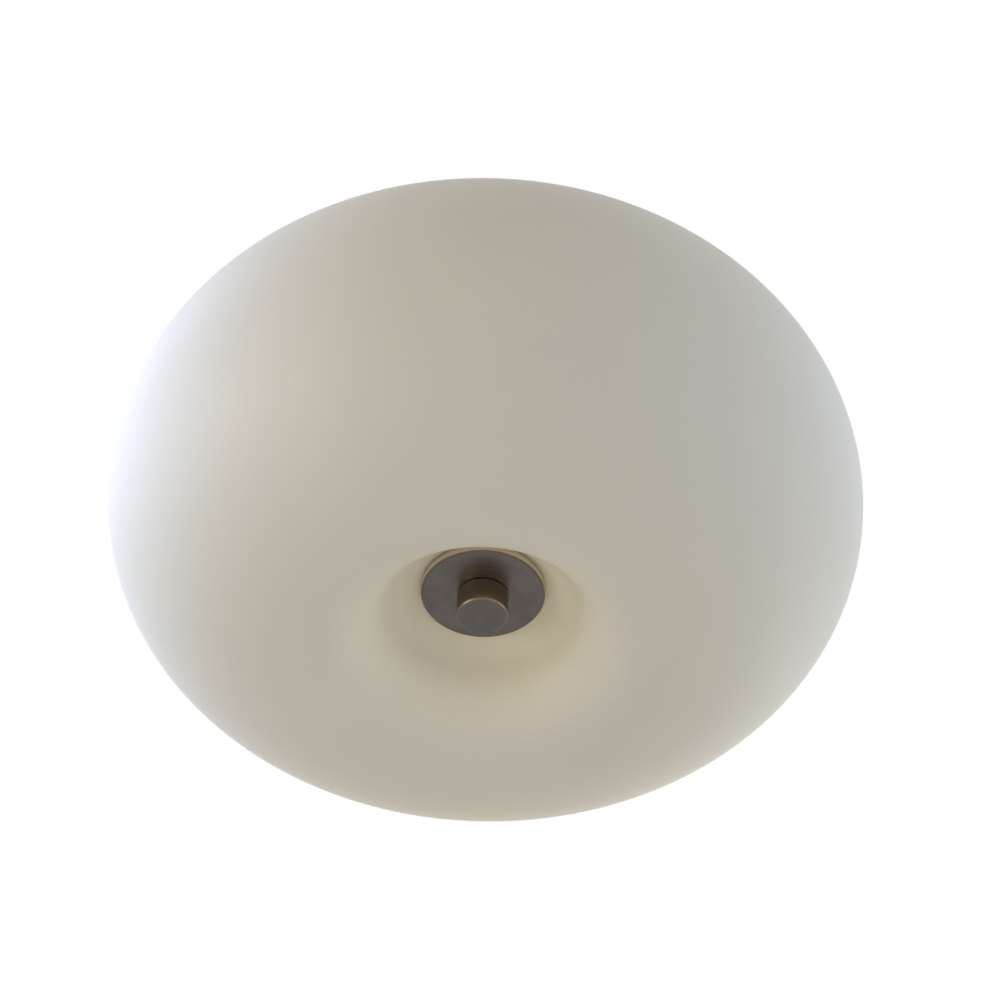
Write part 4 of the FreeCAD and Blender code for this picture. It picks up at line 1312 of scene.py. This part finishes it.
@dataclass
class Stem:
    """The threaded tube in the middle of the light, with its nuts and washers.

    Attributes:
        radius: Radius over the thread.
        thread_depth: Depth of the thread.
        pitch: Rise of one turn of the thread.
        bore: Radius of the bore.
        top_drop: Drop of the upper end.
        end_drop: Drop of the lower end.
        chamfer: Height over which the thread fades at each end.
        ridge_steps: Number of edges over one ridge of the thread.
        steps: Number of faces in a turn of the thread.
    """

    radius: float = 0.0050
    thread_depth: float = 0.0006
    pitch: float = 0.0010
    bore: float = 0.0036
    top_drop: float = 0.0120
    end_drop: float = 0.1738
    chamfer: float = 0.0006
    ridge_steps: int = 4
    steps: int = 28

    def build(self) -> list[bpy.types.Object]:
        """Cut the thread, close it round the bore and dress the nuts.

        Returns:
            The tube, its nuts and its washers.
        """
        root = self.radius - self.thread_depth
        low, high = -self.end_drop, -self.top_drop
        sizes = (root, self.radius, self.pitch, low, high, self.chamfer)
        thread = ScrewThread(*sizes, self.ridge_steps, self.steps)
        mesh = thread.skin()
        lower, upper = thread.end_loop(mesh, low), thread.end_loop(mesh, high)
        inward = self.bore / root
        lower, upper = (carried_loop(mesh, loop, inward, 0.0) for loop in (lower, upper))
        bmesh.ops.bridge_loops(mesh, edges=lower + upper)
        tube = finished_piece(mesh, "tube_threaded", Slot.ZINC_STEEL)
        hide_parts("threaded_tube")
        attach(tube, "fixture")
        names = ("tube_nut_upper", "tube_nut_lower", "tube_washers")
        return [tube] + [dressed_node(name) for name in names]


@dataclass
class Lamp:
    """One of the three lamps, which lies level and screws into its holder.

    Its own pieces are made upright, with the tip of its contact at the origin and its length
    along +Z, and are then laid down along the lamp's reach.

    Attributes:
        number: Number of the lamp, from 1.
        azimuth: Direction that it points in, in radians from +X.
        axis_drop: Drop of its axis.
        tip_reach: Reach of the contact's tip.
        cap_start: Length from the tip to the cap's edge.
        cap_cone: Length of the cap's cone.
        cap_end: Length from the tip to the cap's end.
        crest: Radius over the cap's thread.
        root: Radius at the thread's bottom.
        inner: Radius inside the cap.
        pitch: Rise of one turn of its thread.
        thread_length: Length of its thread.
        run_out: Share of a turn's rise over which the thread fades at each end.
        edge: Radius of the cap's crimped edge over the inner one.
        hard_angle: Angle in radians past which an edge of the cap stays hard.
        ridge_steps: Number of edges over one ridge of the thread.
        steps: Number of faces in a turn of the thread.
    """

    number: int
    azimuth: float
    axis_drop: float = 0.075
    tip_reach: float = 0.043897
    cap_start: float = 0.0055
    cap_cone: float = 0.0012
    cap_end: float = 0.0275
    crest: float = 0.0131
    root: float = 0.0123
    inner: float = 0.0118
    pitch: float = 0.003629
    thread_length: float = 0.0155
    run_out: float = 0.6
    edge: float = 0.00025
    hard_angle: float = 0.9
    ridge_steps: int = 10
    steps: int = 72

    def laid_down(self) -> Matrix:
        """Place of an upright lamp in the frame."""
        tip = Matrix.Translation((self.tip_reach, 0.0, -self.axis_drop))
        lay = Matrix.Rotation(math.pi / 2, 4, "Y")
        return Matrix.Rotation(self.azimuth, 4, "Z") @ tip @ lay

    def cap(self) -> bpy.types.Object:
        """Roll the thread of the screw cap and draw its cone and collar out of it.

        Returns:
            The cap.
        """
        low = self.cap_start + self.cap_cone
        high = low + self.thread_length
        sizes = (self.root, self.crest, self.pitch, low, high, self.pitch * self.run_out)
        thread = ScrewThread(*sizes, self.ridge_steps, self.steps)
        mesh = thread.skin()
        front = thread.end_loop(mesh, low)
        front = carried_loop(mesh, front, (self.inner + self.edge) / self.root, -self.cap_cone)
        front = carried_loop(mesh, front, self.inner / (self.inner + self.edge), 0.0)
        back = thread.end_loop(mesh, high)
        swell = self.cap_end - high
        back = carried_loop(mesh, back, self.crest / self.root, swell / 2)
        back = carried_loop(mesh, back, 1.0, swell / 2)
        back = carried_loop(mesh, back, self.inner / self.crest, 0.0)
        bmesh.ops.bridge_loops(mesh, edges=front + back)
        piece = finished_piece(
            mesh,
            f"lamp_{self.number}_cap_threaded",
            Slot.BRIGHT_NICKEL,
            place=self.laid_down(),
            hard_angle=self.hard_angle,
        )
        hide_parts(f"bulb_{self.number}_cap")
        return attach(piece, f"bulb_{self.number}")

    def build(self) -> list[bpy.types.Object]:
        """Make the cap and dress the rest of the lamp and its holder.

        Returns:
            The lamp's and the holder's pieces.
        """
        lamp = [f"bulb_{self.number}_{part}" for part in ("insulator", "contact")]
        lamp += [f"bulb_{self.number}_{part}" for part in ("housing", "board", "diffuser")]
        holder = [f"holder_{self.number}_{part}" for part in ("body", "shell", "contact")]
        return [self.cap()] + [dressed_node(name) for name in lamp + holder]


# Corners of each lead's route over the pan, as they are in the part's source, in millimetres.
LEAD_CORNERS = {
    Pole.LIVE: (
        ((-16.5, -40.0, -8.5), (-15.5, -10.0, -7.5), (-10.0, 13.0, -8.0)),
        ((-21.5, -44.0, -12.0),),
        ((-6.0, -46.0, -9.5), (9.0, -26.0, -6.8)),
    ),
    Pole.NEUTRAL: (
        ((16.5, -40.0, -12.2), (15.5, -10.0, -12.0), (10.0, 13.0, -10.5)),
        ((6.0, -46.0, -14.0), (-9.0, -26.0, -12.6)),
        ((21.5, -44.0, -12.0),),
    ),
}
# The earth lead's route, from the block to the lug.
EARTH_CORNERS = (
    (0.0, -81.5, -14.3),
    (0.0, -75.0, -14.3),
    (0.9, -68.0, -16.6),
    (0.0, -61.0, -17.9),
    (0.0, -54.6, -17.9),
)


@dataclass
class Wiring:
    """The leads over the pan, with the terminal block and the earth fittings.

    Attributes:
        lead_radius: Radius over the insulation.
        pole_x: Distance of the live and the neutral pole from the block's middle.
        block_front: Place along Y of the block's side that the leads leave from.
        barrel_height: Height of the poles' bores.
        bundle_radius: Distance of each of a pole's leads from that pole's middle.
        bundle_angle: Angle of the first lead in its pole, in radians.
        exit_run: Length of the straight run out of the block.
        bush_reach: Reach of the bushes.
        pair_spacing: Distance between the two leads of a lamp.
        lamp_drops: Added reach and drop of each point from the bush to the holder.
        lamp_azimuths: Directions of the lamps, in degrees from +X.
        order: Number of points that pull on each place of a lead's line.
        line_steps: Number of parts of the line from point to point.
        steps: Number of faces round a quarter of a lead.
    """

    lead_radius: float = 0.0011
    pole_x: float = 0.0120
    block_front: float = -0.0815
    barrel_height: float = -0.0143
    bundle_radius: float = 0.0014
    bundle_angle: float = math.pi / 2
    exit_run: float = 0.0140
    bush_reach: float = 0.0330
    pair_spacing: float = 0.0050
    lamp_drops: tuple[tuple[float, float], ...] = (
        (0.0, 0.0090),
        (0.0020, 0.0340),
        (0.0, 0.0500),
        (0.0, 0.06237),
    )
    lamp_azimuths: tuple[float, ...] = (90.0, 210.0, 330.0)
    order: int = 3
    line_steps: int = 12
    steps: int = 6

    def lead_points(self, pole: Pole, number: int) -> list[Vector]:
        """Points of one lead from the terminal block to its lampholder.

        Args:
            pole: The lead's pole.
            number: Number of its lamp, from 0.

        Returns:
            The points.
        """
        angle = self.bundle_angle + FULL_TURN * number / len(self.lamp_azimuths)
        start = Vector((-pole.value * self.pole_x, self.block_front, self.barrel_height))
        start += Vector((math.cos(angle), 0.0, math.sin(angle))) * self.bundle_radius
        points = [start, start + Vector((0.0, self.exit_run, 0.0))]
        points += [Vector(corner) * MM for corner in LEAD_CORNERS[pole][number]]
        turn = Matrix.Rotation(math.radians(self.lamp_azimuths[number]), 3, "Z")
        side = pole.value * self.pair_spacing / 2
        for added, drop in self.lamp_drops:
            points.append(turn @ Vector((self.bush_reach + added, side, -drop)))
        return points

    def lead(self, name: str, points: list[Vector], slot: Slot, node: str) -> bpy.types.Object:
        """Lay one lead along its points.

        Args:
            name: The lead's name.
            points: The points that its line follows.
            slot: The record's slot of its insulation.
            node: The CAD node that it stands for, with its fellows.

        Returns:
            The lead, as a curve.
        """
        curve = bpy.data.curves.new(name, "CURVE")
        curve.dimensions = "3D"
        curve.bevel_depth = self.lead_radius
        curve.bevel_resolution = self.steps
        curve.resolution_u = self.line_steps
        curve.use_fill_caps = True
        spline = curve.splines.new("NURBS")
        spline.points.add(len(points) - 1)
        for knot, point in zip(spline.points, points):
            knot.co = (*point, 1.0)
        spline.order_u = self.order
        spline.use_endpoint_u = True
        spline.use_smooth = True
        piece = linked(name, curve)
        curve.materials.append(FINISHES[slot].material())
        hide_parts(node)
        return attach(piece, "fixture")

    def build(self) -> list[bpy.types.Object]:
        """Lay the leads and dress the fittings that they join.

        Returns:
            The leads and the fittings.
        """
        kinds = (
            (Pole.LIVE, Slot.BROWN_INSULATION, "live_leads", (0.1670, 0.1128, 0.1346)),
            (Pole.NEUTRAL, Slot.BLUE_INSULATION, "neutral_leads", (0.1662, 0.1327, 0.1128)),
        )
        pieces = []
        for pole, slot, node, lengths in kinds:
            for number, length in enumerate(lengths):
                name = f"{pole.name.lower()}_lead_{number + 1}"
                points = self.lead_points(pole, number)
                lead = self.lead(name, points, slot, node)
                tuple(points[0])
                pieces.append(lead)
        earth = [Vector(corner) * MM for corner in EARTH_CORNERS]
        slot = Slot.GREEN_YELLOW_INSULATION
        pieces.append(self.lead("earth_lead_1", earth, slot, "earth_lead"))
        names = ("terminal_block", "terminal_barrels", "terminal_screws", "block_screw")
        names += ("lead_bushes", "earth_screw", "earth_nut", "earth_lug")
        return pieces + [dressed_node(name) for name in names]


@dataclass
class CeilingFixture:
    """The bar, the pan and the lamp bracket, which keep their CAD shapes.

    Attributes:
        mount: Nodes that hold the light to the ceiling.
        carrier: Nodes that carry the glass and the lamps.
    """

    mount: tuple[str, ...] = ("mounting_bar", "bar_studs", "pan_cap_nuts")
    carrier: tuple[str, ...] = ("ceiling_pan", "rim_gasket", "lamp_bracket", "holder_screws")

    def build(self) -> list[bpy.types.Object]:
        """Dress the fixture's pressed and turned parts."""
        return [dressed_node(name) for name in self.mount + self.carrier]


@dataclass
class Softbox:
    """A square lamp of the studio, which faces the middle of the light.

    Attributes:
        name: Name of the lamp.
        place: Its middle.
        size: Length of its side.
        colour: Its colour.
        watts: Its power.
        aim: The point that it faces.
    """

    name: str
    place: tuple[float, float, float]
    size: float
    colour: str
    watts: float
    aim: tuple[float, float, float] = (0.0, 0.0, -0.1)

    def build(self) -> bpy.types.Object:
        """Hang the lamp.

        Returns:
            The lamp.
        """
        data = bpy.data.lights.new(self.name, "AREA")
        data.shape = "SQUARE"
        data.size = self.size
        data.energy = self.watts
        data.color = linear_colour(self.colour)[:3]
        lamp = linked(self.name, data)
        lamp.matrix_world = facing(self.place, self.aim)
        return lamp


@dataclass
class Studio:
    """Plain soft studio with a pale floor, and the camera at the photograph's viewing angle.

    Attributes:
        eye: The camera's place.
        aim: The point that it looks at.
        lens: Focal length in millimetres.
        sensor: Width of the sensor in millimetres.
        roll: Turn of the camera about its own line of sight, in radians.
        shift: Sideways and upward shift of the frame, in frame widths.
        floor_drop: Drop of the floor below the ceiling.
        floor_size: Length of the floor's side.
        floor_colour: Colour of the floor.
        floor_roughness: Roughness of the floor.
        backdrop: Colour of the background where it is seen or mirrored.
        ambient: Colour of the light all round.
        ambient_level: Strength of that light.
        softboxes: The lamps.
    """

    eye: tuple[float, float, float] = (0.0, -0.7730, -0.9194)
    aim: tuple[float, float, float] = (0.0, 0.0, -0.1020)
    lens: float = 67.03
    sensor: float = 36.0
    roll: float = math.radians(1.69)
    shift: tuple[float, float] = (0.015, 0.025)
    floor_drop: float = 2.4
    floor_size: float = 60.0
    floor_colour: str = "#F2F0EB"
    floor_roughness: float = 0.9
    backdrop: str = "#FFFFFF"
    ambient: str = "#FFFBF1"
    ambient_level: float = 0.49
    softboxes: tuple[Softbox, ...] = (
        Softbox("window_left", (-1.4, 0.2, 0.8), 1.2, "#C6D3FF", 13.8),
        Softbox("sill_left", (-0.85, 0.0, -0.15), 0.5, "#ABC9FF", 2.7),
        Softbox("bounce_left", (-0.75, -0.38, -0.5), 0.5, "#FBF7EE", 1.95),
        Softbox("window_right", (1.7, -0.2, -0.6), 1.2, "#C4E6FF", 5.8),
        Softbox("upper_right", (1.5, 0.2, 0.6), 1.2, "#B4D6FF", 4.4),
        Softbox("corner_right", (1.3, 1.1, -0.5), 1.0, "#FFF8FC", 4.3),
        Softbox("front_right", (1.0, -1.2, -0.8), 1.0, "#CCCDFF", 2.2),
        Softbox("wall_behind", (0.0, 1.8, 0.2), 1.6, "#FFECCB", 5.1),
    )

    def set_camera(self) -> None:
        """Make the camera and look at the light from below."""
        data = bpy.data.cameras.new("photograph_view")
        data.lens = self.lens
        data.sensor_width = self.sensor
        data.shift_x, data.shift_y = self.shift
        camera = linked("photograph_view", data)
        camera.matrix_world = facing(self.eye, self.aim) @ Matrix.Rotation(self.roll, 4, "Z")
        bpy.context.scene.camera = camera

    def lay_floor(self) -> bpy.types.Object:
        """Lay the pale floor far below the light.

        Returns:
            The floor.
        """
        mesh = bmesh.new()
        bmesh.ops.create_grid(mesh, x_segments=1, y_segments=1, size=self.floor_size / 2)
        bmesh.ops.translate(mesh, vec=(0.0, 0.0, -self.floor_drop), verts=mesh.verts)
        floor = meshed("studio_floor", mesh)
        material = bpy.data.materials.new("floor_pale_plaster")
        material.use_nodes = True
        shader = material.node_tree.nodes["Principled BSDF"]
        shader.inputs["Base Color"].default_value = linear_colour(self.floor_colour)
        shader.inputs["Roughness"].default_value = self.floor_roughness
        floor.data.materials.append(material)
        return floor

    def set_world(self) -> None:
        """Light all round, and white where the background itself is seen or mirrored."""
        world = bpy.data.worlds.new("soft_room")
        bpy.context.scene.world = world
        world.use_nodes = True
        tree = world.node_tree
        tree.nodes.clear()
        path = add_node(tree, "LightPath")
        shown = path.outputs["Is Camera Ray"]
        for way in ("Is Glossy Ray", "Is Transmission Ray"):
            takes = {0: shown, 1: path.outputs[way]}
            shown = add_node(tree, "Math", takes, operation="MAXIMUM").outputs[0]
        takes = {0: linear_colour(self.ambient), 1: self.ambient_level}
        light = add_node(tree, "Background", takes)
        white = add_node(tree, "Background", {0: linear_colour(self.backdrop), 1: 1.0})
        takes = {0: shown, 1: light.outputs[0], 2: white.outputs[0]}
        mixed = add_node(tree, "MixShader", takes)
        add_node(tree, "OutputWorld", {0: mixed.outputs[0]})

    def build(self) -> list[bpy.types.Object]:
        """Set up the studio.

        Returns:
            The floor and the lamps.
        """
        self.set_camera()
        self.set_world()
        return [self.lay_floor()] + [softbox.build() for softbox in self.softboxes]


def main() -> None:
    """Build the studio and then the light, sub-assembly by sub-assembly."""
    bpy.context.scene.view_settings.view_transform = "Standard"
    Studio().build()
    wiring = Wiring()
    lamps = [
        Lamp(number + 1, math.radians(azimuth))
        for number, azimuth in enumerate(wiring.lamp_azimuths)
    ]
    carriers = (CeilingFixture(), Stem(), GlassShade(), CoverDisc(), ClampKnob())
    for assembly in (wiring, *lamps, *carriers):
        for piece in assembly.build():
            log.info("%s: %s, %s", type(assembly).__name__, piece.name, piece.type.lower())


if __name__ == "__main__":
    logging.basicConfig(level=logging.INFO, format="%(message)s")
    main()
